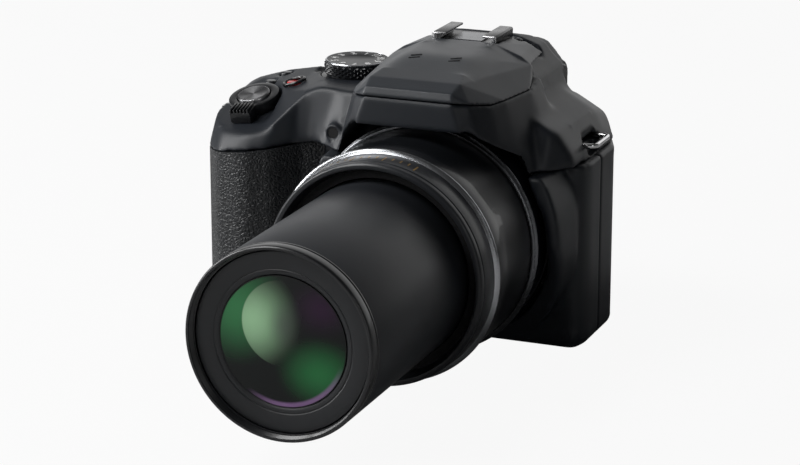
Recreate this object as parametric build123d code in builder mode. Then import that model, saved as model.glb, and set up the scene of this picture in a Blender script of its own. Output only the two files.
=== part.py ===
from build123d import *
import os

os.makedirs("parts", exist_ok=True)

# Whole camera, in millimetres. The origin is the mouth of the tripod socket, and the lens looks along -Y
axis_height = 38.7  # base to lens axis
grip_side = 85.0  # lens axis to the outer side of the grip
plain_side = 45.2  # lens axis to the other side
grip_reach = 37.0  # socket forward to the front of the grip
front_reach = 22.0  # socket forward to the front wall beside the lens
back_reach = 22.0  # socket back to the rear wall
seam_reach = 5.0  # socket forward to the seam of the two shells
hood_reach = 57.5  # socket forward to the face of the lens hood
part_line = 60.7  # base to the lower edge of the top cover
deck_height = 77.6  # base to the deck beside the hump
hump_height = 94.1  # base to the top of the viewfinder hump
foot_round = 4.0  # rounding of the lower edge
wall = 2.0
back_wall = 2.5
gap = 0.3  # clearance between pieces that move past each other
press_gap = 0.03  # radial gap of a fixed fit
running_gap = 0.08  # radial gap of a shaft in its bore
seam_gap = 0.1  # clearance between fixed covers
overrun = 1.0  # how far a cut passes the face that it opens


def spots(shares, across, up):
    """Points from shares of one size across and one size up."""
    return [(across * a, up * b) for a, b in shares]


def block(x_span, y_span, z_span):
    """Square-cornered block between two places on each axis."""
    with BuildPart() as solid:
        with BuildSketch(Plane.XY.offset(z_span[0])):
            with Locations(((x_span[0] + x_span[1]) / 2, (y_span[0] + y_span[1]) / 2)):
                Rectangle(x_span[1] - x_span[0], y_span[1] - y_span[0])
        extrude(amount=z_span[1] - z_span[0])
    return solid.part


def rod(seat, radius, start, end):
    """Round bar square to a plane, between two distances from it."""
    with BuildPart() as solid:
        with BuildSketch(seat.offset(start)):
            Circle(radius)
        extrude(amount=end - start)
    return solid.part


def plan_solid(points, radii, low, high):
    """Outline seen from above, between two heights."""
    with BuildPart() as solid:
        with BuildSketch(Plane.XY.offset(low)):
            with BuildLine():
                FilletPolyline(*points, radius=radii, close=True)
            make_face()
        extrude(amount=high - low)
    return solid.part


def front_solid(points, near, far):
    """Straight-edged outline seen from the front, between two places along Y."""
    with BuildPart() as solid:
        with BuildSketch(Plane.XZ.offset(-far)):
            with BuildLine():
                Polyline(*points, close=True)
            make_face()
        extrude(amount=far - near)
    return solid.part


def side_solid(points, half_width):
    """Straight-edged outline seen from the side, as wide on both sides of the middle."""
    with BuildPart() as solid:
        with BuildSketch(Plane.YZ):
            with BuildLine():
                Polyline(*points, close=True)
            make_face()
        extrude(amount=half_width, both=True)
    return solid.part


def turned(points):
    """Solid turned about the lens axis from points of place along Y and radius."""
    with BuildPart() as solid:
        with BuildSketch(Plane(origin=(0, 0, axis_height), x_dir=(0, 1, 0), z_dir=(1, 0, 0))):
            with BuildLine():
                Polyline(*points, close=True)
            make_face()
        revolve(axis=Axis((0, 0, axis_height), (0, 1, 0)))
    return solid.part


def finish(piece, name):
    """Name a finished piece and write it out."""
    piece.part.label = name
    export_step(piece.part, "parts/" + name + ".step")


# Body outline seen from above: shares of the side it lies on, and of the grip's reach
shoulder_shares = [(0.962, -0.676), (0.841, -0.851), (0.774, -0.946)]
upper_grip_shares = [
    (-0.412, -0.946), (-0.471, -0.811), (-0.541, -0.716), (-0.612, -0.770), (-0.682, -0.932),
    (-0.776, -1.0), (-0.894, -0.919), (-0.969, -0.7), (-1.0, -0.459),
]
lower_front_shares = [(0.962, -0.595)]
lower_grip_shares = [
    (-0.518, -0.595), (-0.588, -0.676), (-0.671, -0.892), (-0.776, -1.0), (-0.894, -0.919),
    (-0.969, -0.7), (-1.0, -0.459),
]
side_turn_share = 0.405
upper_radii_shares = [
    0.12, 0.2, 0.2, 0.27, 0.16, 0.16, 0.1, 0.1, 0.3, 0.16, 0.16, 0.16, 0.24, 0.24, 0.2, 0.2, 0.2, 0.16,
]
lower_radii_shares = [0.12, 0.2, 0.2, 0.27, 0.13, 0.1, 0.16, 0.24, 0.27, 0.24, 0.2, 0.2, 0.2, 0.16]
back_turn_shares = [(-1.0, 0.35), (-0.918, 0.595)]
plain_turn_shares = [(0.852, 1.0), (0.92, 0.773), (1.0, 0.364)]
plain_turn = spots(plain_turn_shares, plain_side, back_reach)
plain_turn.append((plain_side, -grip_reach * side_turn_share))
upper_plan = (
    plain_turn
    + spots(shoulder_shares, plain_side, grip_reach)
    + spots(upper_grip_shares, grip_side, grip_reach)
    + spots(back_turn_shares[:1], grip_side, grip_reach)
    + [(grip_side * back_turn_shares[1][0], back_reach)]
)
lower_plan = (
    plain_turn
    + spots(lower_front_shares, plain_side, grip_reach)
    + spots(lower_grip_shares, grip_side, grip_reach)
    + spots(back_turn_shares[:1], grip_side, grip_reach)
    + [(grip_side * back_turn_shares[1][0], back_reach)]
)
upper_radii = [grip_reach * share for share in upper_radii_shares]
lower_radii = [grip_reach * share for share in lower_radii_shares]

# The parting line of the top cover seen from the front: level on the plain side, lower at the grip
grip_line = 55.3  # base to the parting line at the grip's outer side
line_break = -44.0  # place across where the line starts to fall
line_points = [(-grip_side - overrun, grip_line), (line_break, part_line), (plain_side + overrun, part_line)]
above_line = front_solid(
    line_points
    + [(plain_side + overrun, hump_height + overrun), (-grip_side - overrun, hump_height + overrun)],
    -hood_reach - overrun,
    back_reach + back_reach,
)
below_line = front_solid(
    line_points + [(plain_side + overrun, -overrun), (-grip_side - overrun, -overrun)],
    -hood_reach - overrun,
    back_reach + back_reach,
)

# Skyline of the deck at its ridge, as shares of the side and of the deck's height. From the ridge the deck
# falls a little to the front on the grip side, and more to the back
skyline_shares = [
    (0.532, 0.56), (0.532, 0.677), (0.529, 0.68), (0.496, 0.83), (0.445, 0.928), (0.32, 1.005),
    (-0.26, 1.011), (-0.494, 1.008), (-0.678, 0.999), (-0.807, 0.972), (-0.894, 0.943), (-0.938, 0.927),
    (-0.976, 0.903), (-1.0, 0.857), (-1.0, 0.56),
]
level_shares = skyline_shares[:8] + [(-0.678, 1.003), (-1.0, 1.0), (-1.0, 0.56)]
fall_shares = [(0.532, 0.56), (0.532, 1.5), (-0.26, 1.15), (-0.47, 1.083), (-0.588, 1.035)] + skyline_shares[8:]
ridge_y = 8.0
front_fall_shares = (0, -1, -0.14)
back_fall_shares = (0, 1, -0.305)


def deck_prism(shares, start, slope_shares, length):
    """Skyline drawn out level or down a slope, along Y."""
    with BuildPart() as prism:
        with BuildSketch(Plane.XZ.offset(-start)):
            with BuildLine():
                Polyline(*spots(shares, grip_side, deck_height), close=True)
            make_face()
        extrude(amount=length, dir=slope_shares)
    return prism.part


with BuildPart() as deck:
    add(deck_prism(fall_shares, ridge_y, front_fall_shares, hood_reach + ridge_y))
    add(deck_prism(level_shares, ridge_y, (0, -1, 0), hood_reach), mode=Mode.INTERSECT)
    add(deck_prism(skyline_shares, ridge_y, back_fall_shares, back_reach))

# The front of the shoulders leans back above the grip, up to a crown outline at the deck
lean_floor = 57.0  # base to where the lean starts
crown_shares = [(0.962, -0.54), (0.841, -0.65), (0.774, -0.73)]
crown_grip_shares = [
    (-0.412, -0.6), (-0.471, -0.555), (-0.541, -0.555), (-0.612, -0.58), (-0.682, -0.62),
    (-0.776, -0.58), (-0.894, -0.46), (-0.976, -0.245), (-1.0, -0.055),
]
crown_plan = (
    plain_turn
    + spots(crown_shares, plain_side, grip_reach)
    + spots(crown_grip_shares, grip_side, grip_reach)
    + spots(back_turn_shares[:1], grip_side, grip_reach)
    + [(grip_side * back_turn_shares[1][0], back_reach)]
)
crown_radii = [radius / 2 for radius in upper_radii]
with BuildPart() as leaning:
    for height, points, radii in (
        (lean_floor, upper_plan, upper_radii),
        (deck_height + wall, crown_plan, crown_radii),
    ):
        with BuildSketch(Plane.XY.offset(height)):
            with BuildLine():
                FilletPolyline(*points, radius=radii, close=True)
            make_face()
    loft(ruled=True)
    add(plan_solid(upper_plan, upper_radii, grip_line - overrun, lean_floor))

# Shutter seat: a plane tilted forward and outward, sunk into the deck above the grip
shutter_x = -71.1
shutter_y = -13.3
shutter_sink = 9.7  # deck height down to the seat
shutter_z = deck_height - shutter_sink
seat_slope_shares = (-0.113, -0.28, 1.0)
bowl_r = 9.2
tab_room_r = 13.8
bowl_depth = 12.0
shutter_seat = Plane(
    origin=(shutter_x, shutter_y, shutter_z),
    x_dir=(-seat_slope_shares[2], 0, seat_slope_shares[0]),
    z_dir=seat_slope_shares,
)
with BuildPart() as bowl:
    with BuildSketch(shutter_seat):
        Circle(tab_room_r)
        with Locations((0, tab_room_r / 2)):
            Rectangle(bowl_r + bowl_r, tab_room_r, mode=Mode.INTERSECT)
        Circle(bowl_r)
        with Locations((bowl_r, 0)):
            Rectangle(bowl_r + bowl_r, bowl_r + bowl_r)
    extrude(amount=bowl_depth)
lip_x = -62.0
lip_y = -21.0
lip_sink = 9.4
lip_slope_shares = (-0.634, -0.52, 1.0)
lip_side = 30.0
with BuildPart() as lip_slope:
    with BuildSketch(Plane(origin=(lip_x, lip_y, deck_height - lip_sink), z_dir=lip_slope_shares)):
        Rectangle(lip_side + lip_side, lip_side + lip_side)
    extrude(amount=lip_side)
    with BuildSketch(shutter_seat):
        Rectangle(lip_side + lip_side, lip_side + lip_side)
    extrude(amount=lip_side, mode=Mode.INTERSECT)

# Hood over the lens: its sides lean in from the foot to the crown under the flash lid
hood_foot_z = 56.3
seam_rise = 6.6  # deck to the level part of the lid's seam
seam_climb = 2.3
crown_rise = 0.7
seam_level_z = deck_height + seam_rise
seam_front_z = seam_level_z + seam_climb
hood_crown_z = seam_front_z + crown_rise
hood_foot_shares = [(0.56, -1.0), (0.606, -0.939), (0.677, -0.809), (0.737, -0.678), (0.852, -0.4), (0.885, -0.2)]
hood_crown_shares = [(0.3, -1.0), (0.4, -0.939), (0.48, -0.809), (0.527, -0.678), (0.58, -0.4), (0.573, -0.2)]


def both_sides(points):
    """The points of the right half, then their mirror images in turn back to the start."""
    return points + [(-a, b) for a, b in reversed(points)]


with BuildPart() as hood:
    for height, shares in ((hood_foot_z, hood_foot_shares), (hood_crown_z, hood_crown_shares)):
        with BuildSketch(Plane.XY.offset(height)):
            with BuildLine():
                Polyline(*both_sides(spots(shares, plain_side, hood_reach)), close=True)
            make_face()
    loft(ruled=True)

# Flash lid seam seen from the side: falls from the hood's face, runs level, climbs, then steps up to the hinge
seam_level_share = 0.8
seam_level_reach = hood_reach * seam_level_share
climb_reach = 22.6
step_reach = 10.5
step_foot_rise = 1.6
step_sink = 4.8
hinge_sink = 2.9
step_low_z = seam_level_z + step_foot_rise
step_z = hump_height - step_sink
hinge_y = 6.0
hinge_z = hump_height - hinge_sink
knuckle_r = 3.0
pin_r = 1.0
ear_length = 2.6
knuckle_half = 11.1
lid_well = side_solid(
    [
        (-hood_reach - overrun, seam_front_z), (-seam_level_reach, seam_level_z),
        (-climb_reach, seam_level_z), (-step_reach, step_low_z), (-step_reach, step_z - gap),
        (hinge_y + knuckle_r + gap, step_z - gap), (hinge_y + knuckle_r + gap, hump_height + overrun),
        (-hood_reach - overrun, hump_height + overrun),
    ],
    plain_side,
)
hinge_line = Plane(origin=(0, hinge_y, hinge_z), x_dir=(0, 1, 0), z_dir=(1, 0, 0))

# Viewfinder hump seen from the front: shares of its half width and of its height
hump_half = 24.5
hump_front = -15.0
hump_rear = 16.0
hump_back = 26.0
slope_start = 10.0
slope_drop = 3.8
hump_shares = [
    (1.2, 0.76), (1.1, 0.83), (1.0, 0.9), (0.87, 0.93), (0.76, 0.965), (0.5, 0.99), (0.3, 1.0),
]
eyepiece_half = 22.0
eyepiece_shares = [(1.0, 0.69), (1.0, 0.86), (0.95, 0.89), (0.74, 0.945), (0.3, 0.98)]
hump_base = front_solid(both_sides(spots(hump_shares, hump_half, hump_height)), hump_front, hump_rear)
eyepiece_block = front_solid(both_sides(spots(eyepiece_shares, eyepiece_half, hump_height)), 0, hump_back)
hump_slope = side_solid(
    [
        (slope_start, hump_height), (hump_back + overrun, hump_height - slope_drop - overrun),
        (hump_back + overrun, hump_height + overrun), (slope_start, hump_height + overrun),
    ],
    plain_side,
)

# Lens mouth seen from the front: flat ceiling under the hood, facets down to the round shroud
mouth_r = 38.0
shroud_r = 42.5
shroud_flare = 1.5
shroud_reach = 39.0
shroud_drop = 35.0
shroud_set_back = 17.0
mouth_shares = [
    (1.0, 0.0), (0.995, 0.121), (0.882, 0.463), (0.792, 0.729), (0.663, 0.863), (0.584, 0.937), (0.5, 1.018),
]
mouth_points = both_sides([(mouth_r * a, axis_height + mouth_r * b) for a, b in mouth_shares])
mouth = front_solid(mouth_points, -hood_reach - overrun, -front_reach)
with BuildPart() as round_mouth:
    add(rod(Plane.XZ.offset(front_reach).shift_origin((0, -front_reach, axis_height)), mouth_r, 0, hood_reach))
with BuildPart() as shroud:
    with BuildSketch(Plane(origin=(0, 0, axis_height), x_dir=(0, 1, 0), z_dir=(1, 0, 0))):
        with BuildLine():
            Polyline(
                (-front_reach, 0), (-shroud_reach, 0), (-shroud_reach, shroud_r),
                (-front_reach, shroud_r + shroud_flare),
                close=True,
            )
        make_face()
    revolve(axis=Axis((0, 0, axis_height), (0, 1, 0)))
    add(
        side_solid(
            [
                (-shroud_reach - overrun, axis_height), (-shroud_reach, axis_height),
                (-shroud_reach + shroud_set_back, axis_height - shroud_drop),
                (-shroud_reach + shroud_set_back, -overrun - shroud_r),
                (-shroud_reach - overrun, -overrun - shroud_r),
            ],
            shroud_r + shroud_flare,
        ),
        mode=Mode.SUBTRACT,
    )
    add(
        block(
            (-shroud_r - shroud_flare, shroud_r + shroud_flare),
            (-hood_reach, 0),
            (-shroud_r, 0),
        ),
        mode=Mode.SUBTRACT,
    )

# Room inside the shells seen from the front: shares of the side and of the deck's height
room_shares = [
    (0.508, 0.66), (0.44, 0.74), (0.425, 0.82), (0.36, 0.895), (0.19, 0.968), (-0.19, 0.968), (-0.28, 0.925),
    (-0.55, 0.925), (-0.682, 0.86),
]
room_right = plain_side - wall
room_points = (
    [(room_right, wall)]
    + spots(room_shares, grip_side, deck_height)
    + [(grip_side * room_shares[-1][0], wall)]
)
room_left = grip_side * room_shares[-1][0]
room_turn_x = 37.0
room_turn_y = 6.5
with BuildPart() as room:
    add(front_solid(room_points, -front_reach + wall, back_reach - back_wall))
    with BuildSketch(Plane.XY):
        with BuildLine():
            Polyline(
                (room_left - overrun, -front_reach), (room_right + overrun, -front_reach),
                (room_right + overrun, room_turn_y), (room_right, room_turn_y),
                (room_turn_x, back_reach - back_wall), (room_left - overrun, back_reach - back_wall),
                close=True,
            )
        make_face()
    extrude(amount=hump_height, mode=Mode.INTERSECT)

# Lens barrels, places along Y
barrel_reach = 85.0
band_length = 9.7
silver_length = 1.4
groove_length = 0.5
collar_length = 8.7
spigot_length = 3.3
rim_inner_r = 32.5
rim_outer_r = 34.7
band_r = 35.2
spigot_r = 34.0
silver_r = 36.6
groove_r = 35.0
collar_r = 36.0
barrel_r = 35.7
barrel_bore_r = 31.5
flange_r = 38.5
flange_flat = 36.2
flange_length = 3.0
base_thickness = 3.0
base_back = -9.0
bore_r = collar_r + running_gap
rim_y = -barrel_reach
band_end = rim_y + band_length
silver_end = band_end + silver_length
collar_start = silver_end + groove_length
collar_end = collar_start + collar_length
spigot_front = band_end - spigot_length
flange_front = -front_reach + wall
base_front = base_back - base_thickness
barrel_hole = rod(
    Plane(origin=(0, -hood_reach, axis_height), x_dir=(1, 0, 0), z_dir=(0, 1, 0)),
    bore_r,
    0,
    hood_reach - front_reach + wall + overrun,
)

# Battery, its pocket in the grip, and the door under it
battery_x = (-76.0, -55.5)
battery_y = (-23.5, 12.0)
battery_z = (4.5, 55.5)
battery_pocket = block(
    (battery_x[0] - gap, battery_x[1] + gap),
    (battery_y[0] - gap, battery_y[1] + gap),
    (-overrun, battery_z[1] + gap),
)
door_x = (-78.0, -50.6)
door_y = (-24.6, 14.0)
door_edge_gap = 0.8  # room for the door's edge as it swings down
door_hinge_x = -47.4
door_hinge_z = 1.6
door_knuckle_r = 1.5
door_pin_r = 0.7
door_pin_length = 1.5
door_slot_half = 2.4
door_boss_length = 3.0
door_boss_top = 4.4
knuckle_y = (-19.0, 10.0)
door_recess = block(
    (door_x[0] - gap, door_x[1] + door_edge_gap), (door_y[0] - gap, door_y[1] + gap), (-overrun, wall)
)
door_slot = block(
    (door_x[1] - overrun, door_hinge_x + door_slot_half),
    (knuckle_y[0] - gap, knuckle_y[1] + gap),
    (-overrun, door_boss_top),
)
door_boss = block(
    (door_x[1] + door_edge_gap, door_hinge_x + door_slot_half),
    (knuckle_y[0] - gap - door_boss_length, knuckle_y[1] + gap + door_boss_length),
    (0, door_boss_top),
)
door_axis = Plane(origin=(door_hinge_x, 0, door_hinge_z), x_dir=(1, 0, 0), z_dir=(0, 1, 0))
door_pin_hole = rod(
    door_axis,
    door_pin_r + running_gap,
    knuckle_y[0] - door_pin_length - gap,
    knuckle_y[1] + door_pin_length + gap,
)

# Card slot beside the battery
divider = 1.2
card_x = (-53.8, -51.7)
card_y = (-10.0, 14.0)
card_z = (6.0, 38.0)

# Flash capacitor in the front of the grip
capacitor_r = 4.2
capacitor_x = -66.5
capacitor_y = -29.3
capacitor_z = (15.0, 48.0)

# Socket door on the grip side
port_y = (-4.2, 8.0)
port_z = (28.0, 54.0)
port_thickness = 1.6
port_depth = 5.0
port_wall = 1.5
port_hinge_r = 0.8

# Rubber cover round the grip
cover_thickness = 1.2
cover_low = foot_round
cover_right = -43.0
cover_back = -8.8

# Tripod socket and strap loops
socket_r = 7.0
socket_height = 7.0
thread_r = 3.175
loop_y = -5.0
loop_z = 65.2
loop_half = 8.0
loop_bar = 1.6
loop_hole_half = 6.2
loop_room = 4.6
loop_root = 4.0
loop_thickness = 1.6
loop_round = 3.0
recess_half_height = 4.4
recess_round_share = 0.8

# Mode dial and power lever on the deck
dial_x = -42.0
dial_y = 3.0
dial_r = 11.0
dial_sink = 0.1
dial_height = 5.2
dial_low = deck_height - dial_sink
dial_high = dial_low + dial_height
dial_post_r = 3.0
dial_post = 3.3
dial_post_low = dial_low - dial_post
pad_r = 12.6
pad_sink = 1.7
pad_top = deck_height - pad_sink
lever_r = 11.8
lever_thickness = 1.0
dial_centre = Plane(origin=(dial_x, dial_y, 0), x_dir=(1, 0, 0), z_dir=(0, 0, 1))

lever_tab_reach = 15.0
lever_tab_half = 2.2
lever_tab_angle = 150.0
lever_swing = 25.0
lever_steps = 5

# Small buttons of the deck: place across, place along, height of the top, radius
record_sink = 2.2
burst_sink = 4.0
focus_sink = 2.3
record_place = (-60.3, -7.0, deck_height - record_sink, 2.4)
burst_place = (-71.2, -1.5, deck_height - burst_sink, 1.9)
focus_place = (-68.5, 5.0, deck_height - focus_sink, 1.9)
deck_button_length = 4.0
deck_button_travel = 0.5
deck_buttons = [record_place, burst_place, focus_place]

# Controls of the back: place across, height, radius
lock_place = (-44.0, 64.5, 2.6)
lvf_place = (-31.5, 67.8, 2.6)
play_place = (-53.5, 48.0, 3.0)
display_place = (-37.5, 48.0, 2.6)
menu_place = (-53.5, 10.0, 2.6)
pad_place = (-44.5, 29.0, 9.5)
set_r = 3.6
back_proud = 0.8
back_flange = 1.0
rear_dial_x = -64.0
rear_dial_y = 17.2
rear_dial_sink = 11.0
rear_dial_z = deck_height - rear_dial_sink
rear_dial_r = 6.0
rear_dial_half = 2.0
rear_dial_post_r = 1.5
rear_dial_post = 1.8
rear_dial_centre = Plane(origin=(rear_dial_x, rear_dial_y, rear_dial_z), x_dir=(1, 0, 0), z_dir=(0, 0, 1))

# Autofocus lamp beside the hood
lamp_x = -36.6
lamp_z = 65.8
lamp_r = 1.7
lamp_ring_r = 2.9
lamp_front = -30.2
lamp_depth = 7.0
lamp_line = Plane(origin=(lamp_x, 0, lamp_z), x_dir=(1, 0, 0), z_dir=(0, 1, 0))

# Shutter button and zoom lever on the tilted seat
shutter_r = 5.5
shutter_low = 0.5
shutter_high = 4.6
shutter_pocket = 2.4
zoom_lever_r = 8.4
zoom_lever_high = 3.8
zoom_tab_half = 3.6
zoom_tab_reach = 11.8
zoom_tab_high = 5.0
zoom_rib = 0.6

# Viewfinder, its eyecup and dioptre wheel, and the flash release
evf_half = 9.0
evf_z = (69.0, 78.6)
evf_y = (8.0, 25.0)
wheel_r = 3.5
wheel_y = 18.8
wheel_z = 79.5
wheel_inner = 19.0
wheel_outer = 24.3
release_y = -3.0
release_z = 80.5
release_r = 2.2
release_inner = 22.0
release_outer = 27.6
wheel_line = Plane(origin=(0, wheel_y, wheel_z), x_dir=(0, 1, 0), z_dir=(1, 0, 0))
release_line = Plane(origin=(0, release_y, release_z), x_dir=(0, 1, 0), z_dir=(-1, 0, 0))

# Speaker under its holes in the plain shoulder
speaker_x = 23.8
speaker_y = -4.0
speaker_r = 4.5
speaker_z = (64.8, 69.3)
speaker_hole_r = 0.5
speaker_hole_pitch = 1.8

# Screen in the back
screen_x = (-30.0, 36.0)
screen_z = (10.0, 60.0)
bezel_width = 2.2
bezel_depth = 1.8
screen_gap = 0.1


def eyelet_plate(side, outer):
    """Strap loop: a flat plate with a rounded outer edge, and the room its legs and bar take."""
    inner = outer - side * (loop_bar + loop_room + loop_root)
    with BuildPart() as plate:
        with BuildSketch(Plane.XY.offset(loop_z - loop_thickness / 2)):
            with Locations(((outer + inner) / 2, loop_y)):
                Rectangle(abs(outer - inner), loop_half + loop_half)
        extrude(amount=loop_thickness)
        outer_edges = plate.edges().filter_by(Axis.Z).sort_by(Axis.X)
        fillet(outer_edges[-2:] if side > 0 else outer_edges[:2], radius=loop_round)
    return plate.part


def eyelet_hole(side, outer):
    """The room inside a strap loop, open from its root to its bar."""
    near = outer - side * loop_bar
    far = near - side * (loop_room + loop_root + overrun)
    return block(
        (min(near, far), max(near, far)),
        (loop_y - loop_hole_half, loop_y + loop_hole_half),
        (loop_z - loop_thickness, loop_z + loop_thickness),
    )


def eyelet_recess(side, outer):
    """The oval recess that a strap loop bridges."""
    with BuildPart() as recess:
        with BuildSketch(Plane.YZ.offset(outer - side * (loop_bar + loop_room))):
            with Locations((loop_y, loop_z)):
                RectangleRounded(
                    loop_hole_half + loop_hole_half,
                    recess_half_height + recess_half_height,
                    recess_half_height * recess_round_share,
                )
        extrude(amount=side * (loop_bar + loop_room + loop_bar))
    return recess.part


plain_loop = 45.9
grip_loop = -85.0
loops = ((1, plain_loop), (-1, grip_loop))

# Room for the hinge, the viewfinder, the flash head and the controls
hinge_groove = rod(hinge_line, knuckle_r + gap, -plain_side, plain_side)
ear_near = knuckle_half + gap
ear_far = ear_near + ear_length
ear_r = knuckle_r - gap - gap
evf_tunnel = block(
    (-evf_half - seam_gap, evf_half + seam_gap),
    (evf_y[0] - gap, hump_back + overrun),
    (evf_z[0] - seam_gap, evf_z[1] + seam_gap),
)
flash_half = 13.0
flash_set_back = 9.0
flash_length = 26.0
flash_y = (-hood_reach + flash_set_back, -hood_reach + flash_set_back + flash_length)
flash_sink = 4.5
flash_rise = 4.2
flash_low = seam_level_z - flash_sink
flash_top = seam_level_z + flash_rise
well_low = flash_low - gap
well_margin = 1.4
well_front = flash_y[0] - well_margin
flash_well = block((-flash_half - gap, flash_half + gap), (well_front, flash_y[1] + gap), (well_low, hump_height))


def upright(x, y):
    """Level plane with its origin over a place in plan."""
    return Plane(origin=(x, y, 0), x_dir=(1, 0, 0), z_dir=(0, 0, 1))


def rearward(x, z):
    """Plane square to Y, facing the back, with its origin at a place seen from the front."""
    return Plane(origin=(x, 0, z), x_dir=(1, 0, 0), z_dir=(0, 1, 0))


def back_hole(place):
    """Round hole through the back wall for a button."""
    return rod(rearward(place[0], place[1]), place[2] + gap, back_reach - back_wall - overrun, back_reach + overrun)


def deck_hole(place):
    """Round blind hole in the deck for a button."""
    low = place[2] - deck_button_length - deck_button_travel - gap
    return rod(upright(place[0], place[1]), place[3] + gap, low, place[2] + overrun)


def lever_tab(angle, clearance, low, high):
    """The tab of the power lever at one angle."""
    half = lever_tab_half + clearance
    out = lever_tab_reach - lever_tab_half
    with BuildPart() as tab:
        with BuildSketch(dial_centre.offset(low)):
            with PolarLocations(0, 1, start_angle=angle):
                with Locations((out, 0)):
                    Circle(half)
                with Locations((out / 2, 0)):
                    Rectangle(out, half + half)
        extrude(amount=high - low)
    return tab.part


# Top cover: shoulders, hood, hump and shutter seat in one shell
with BuildPart() as top_cover:
    add(plan_solid(upper_plan, upper_radii, grip_line - overrun, hump_height))
    add(leaning.part, mode=Mode.INTERSECT)
    add(deck.part, mode=Mode.INTERSECT)
    add(bowl.part, mode=Mode.SUBTRACT)
    add(lip_slope.part, mode=Mode.SUBTRACT)
    add(hood.part)
    add(hump_base)
    add(eyepiece_block)
    add(rod(dial_centre, pad_r, part_line + wall, pad_top))
    add(rod(lamp_line, lamp_ring_r, lamp_front, -front_reach))
    add(above_line, mode=Mode.INTERSECT)
    add(mouth, mode=Mode.SUBTRACT)
    add(round_mouth.part, mode=Mode.SUBTRACT)
    add(barrel_hole, mode=Mode.SUBTRACT)
    add(room.part, mode=Mode.SUBTRACT)
    add(lid_well, mode=Mode.SUBTRACT)
    add(hump_slope, mode=Mode.SUBTRACT)
    add(flash_well, mode=Mode.SUBTRACT)
    add(hinge_groove, mode=Mode.SUBTRACT)
    for side in (1, -1):
        ear_span = (min(side * ear_near, side * ear_far), max(side * ear_near, side * ear_far))
        add(rod(hinge_line, ear_r, *ear_span))
        add(block(ear_span, (hinge_y - ear_r + gap, hinge_y + ear_r - gap), (hinge_z - knuckle_r - wall, hinge_z)))
    add(rod(hinge_line, pin_r + press_gap, -ear_far - overrun, ear_far + overrun), mode=Mode.SUBTRACT)
    add(rod(dial_centre, lever_r + gap, pad_top, hump_height), mode=Mode.SUBTRACT)
    for step in range(lever_steps + 1):
        tab_angle = lever_tab_angle + lever_swing * step / lever_steps
        add(lever_tab(tab_angle, gap, pad_top, hump_height), mode=Mode.SUBTRACT)
    add(rod(dial_centre, dial_post_r + running_gap, part_line, hump_height), mode=Mode.SUBTRACT)
    add(rod(shutter_seat, shutter_r + gap, -shutter_pocket, overrun), mode=Mode.SUBTRACT)
    for place in deck_buttons:
        add(deck_hole(place), mode=Mode.SUBTRACT)
    for place in (lock_place, lvf_place):
        add(back_hole(place), mode=Mode.SUBTRACT)
    add(rod(rear_dial_centre, rear_dial_r + gap, -rear_dial_half - gap, rear_dial_half + gap), mode=Mode.SUBTRACT)
    post_reach = rear_dial_half + rear_dial_post + gap
    add(rod(rear_dial_centre, rear_dial_post_r + running_gap, -post_reach, post_reach), mode=Mode.SUBTRACT)
    add(rod(lamp_line, lamp_r + press_gap, lamp_front - overrun, lamp_front + lamp_depth), mode=Mode.SUBTRACT)
    add(evf_tunnel, mode=Mode.SUBTRACT)
    add(rod(wheel_line, wheel_r + gap, wheel_inner - gap, wheel_outer + wheel_r), mode=Mode.SUBTRACT)
    add(rod(release_line, release_r + gap, release_inner - overrun, release_outer + release_r), mode=Mode.SUBTRACT)
    for side, outer in loops:
        add(eyelet_plate(side, outer), mode=Mode.SUBTRACT)
        add(eyelet_recess(side, outer), mode=Mode.SUBTRACT)
    for column in (-1, 0, 1):
        for row in (-1, 0, 1):
            hole_x = speaker_x + column * speaker_hole_pitch
            hole_y = speaker_y + row * speaker_hole_pitch
            add(
                rod(upright(hole_x, hole_y), speaker_hole_r, speaker_z[1] - overrun, hump_height),
                mode=Mode.SUBTRACT,
            )
finish(top_cover, "top_cover")

# Lower body: one outline with a rounded foot, parted into a front and a rear shell
with BuildPart() as lower_body:
    add(plan_solid(lower_plan, lower_radii, 0, part_line))
    fillet(lower_body.faces().sort_by(Axis.Z)[0].edges(), radius=foot_round)
    add(below_line, mode=Mode.INTERSECT)


def inner_plan(inset, low, high):
    """The lower outline drawn in by an inset."""
    with BuildPart() as solid:
        with BuildSketch(Plane.XY.offset(low)):
            with BuildLine():
                FilletPolyline(*lower_plan, radius=lower_radii, close=True)
            make_face()
            offset(amount=-inset)
        extrude(amount=high - low)
    return solid.part


# Rubber cover: the skin of the outline round the front and side of the grip
with BuildPart() as grip_cover:
    add(plan_solid(lower_plan, lower_radii, cover_low, part_line))
    add(inner_plan(cover_thickness, 0, part_line + overrun), mode=Mode.SUBTRACT)
    add(
        block((-grip_side - overrun, cover_right), (-grip_reach - overrun, cover_back), (cover_low, part_line)),
        mode=Mode.INTERSECT,
    )
    add(below_line, mode=Mode.INTERSECT)
finish(grip_cover, "grip_cover")

whole_width = (-grip_side - grip_side, grip_side + grip_side)
ahead_of_seam = block(whole_width, (-hood_reach - overrun, -seam_reach), (-overrun, hump_height))
behind_seam = block(whole_width, (-seam_reach, back_reach + back_reach), (-overrun, hump_height))
socket_seat = rod(Plane.XY, socket_r + press_gap, -overrun, socket_height)
divider_x = (battery_x[1] + gap, battery_x[1] + gap + divider)
pocket_back = battery_y[1] + gap
with BuildPart() as divider_wall:
    add(block(divider_x, (-front_reach + wall, pocket_back + divider), (wall, battery_z[1])))
    add(block((room_left - overrun, divider_x[1]), (pocket_back, pocket_back + divider), (wall, battery_z[1])))

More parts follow.
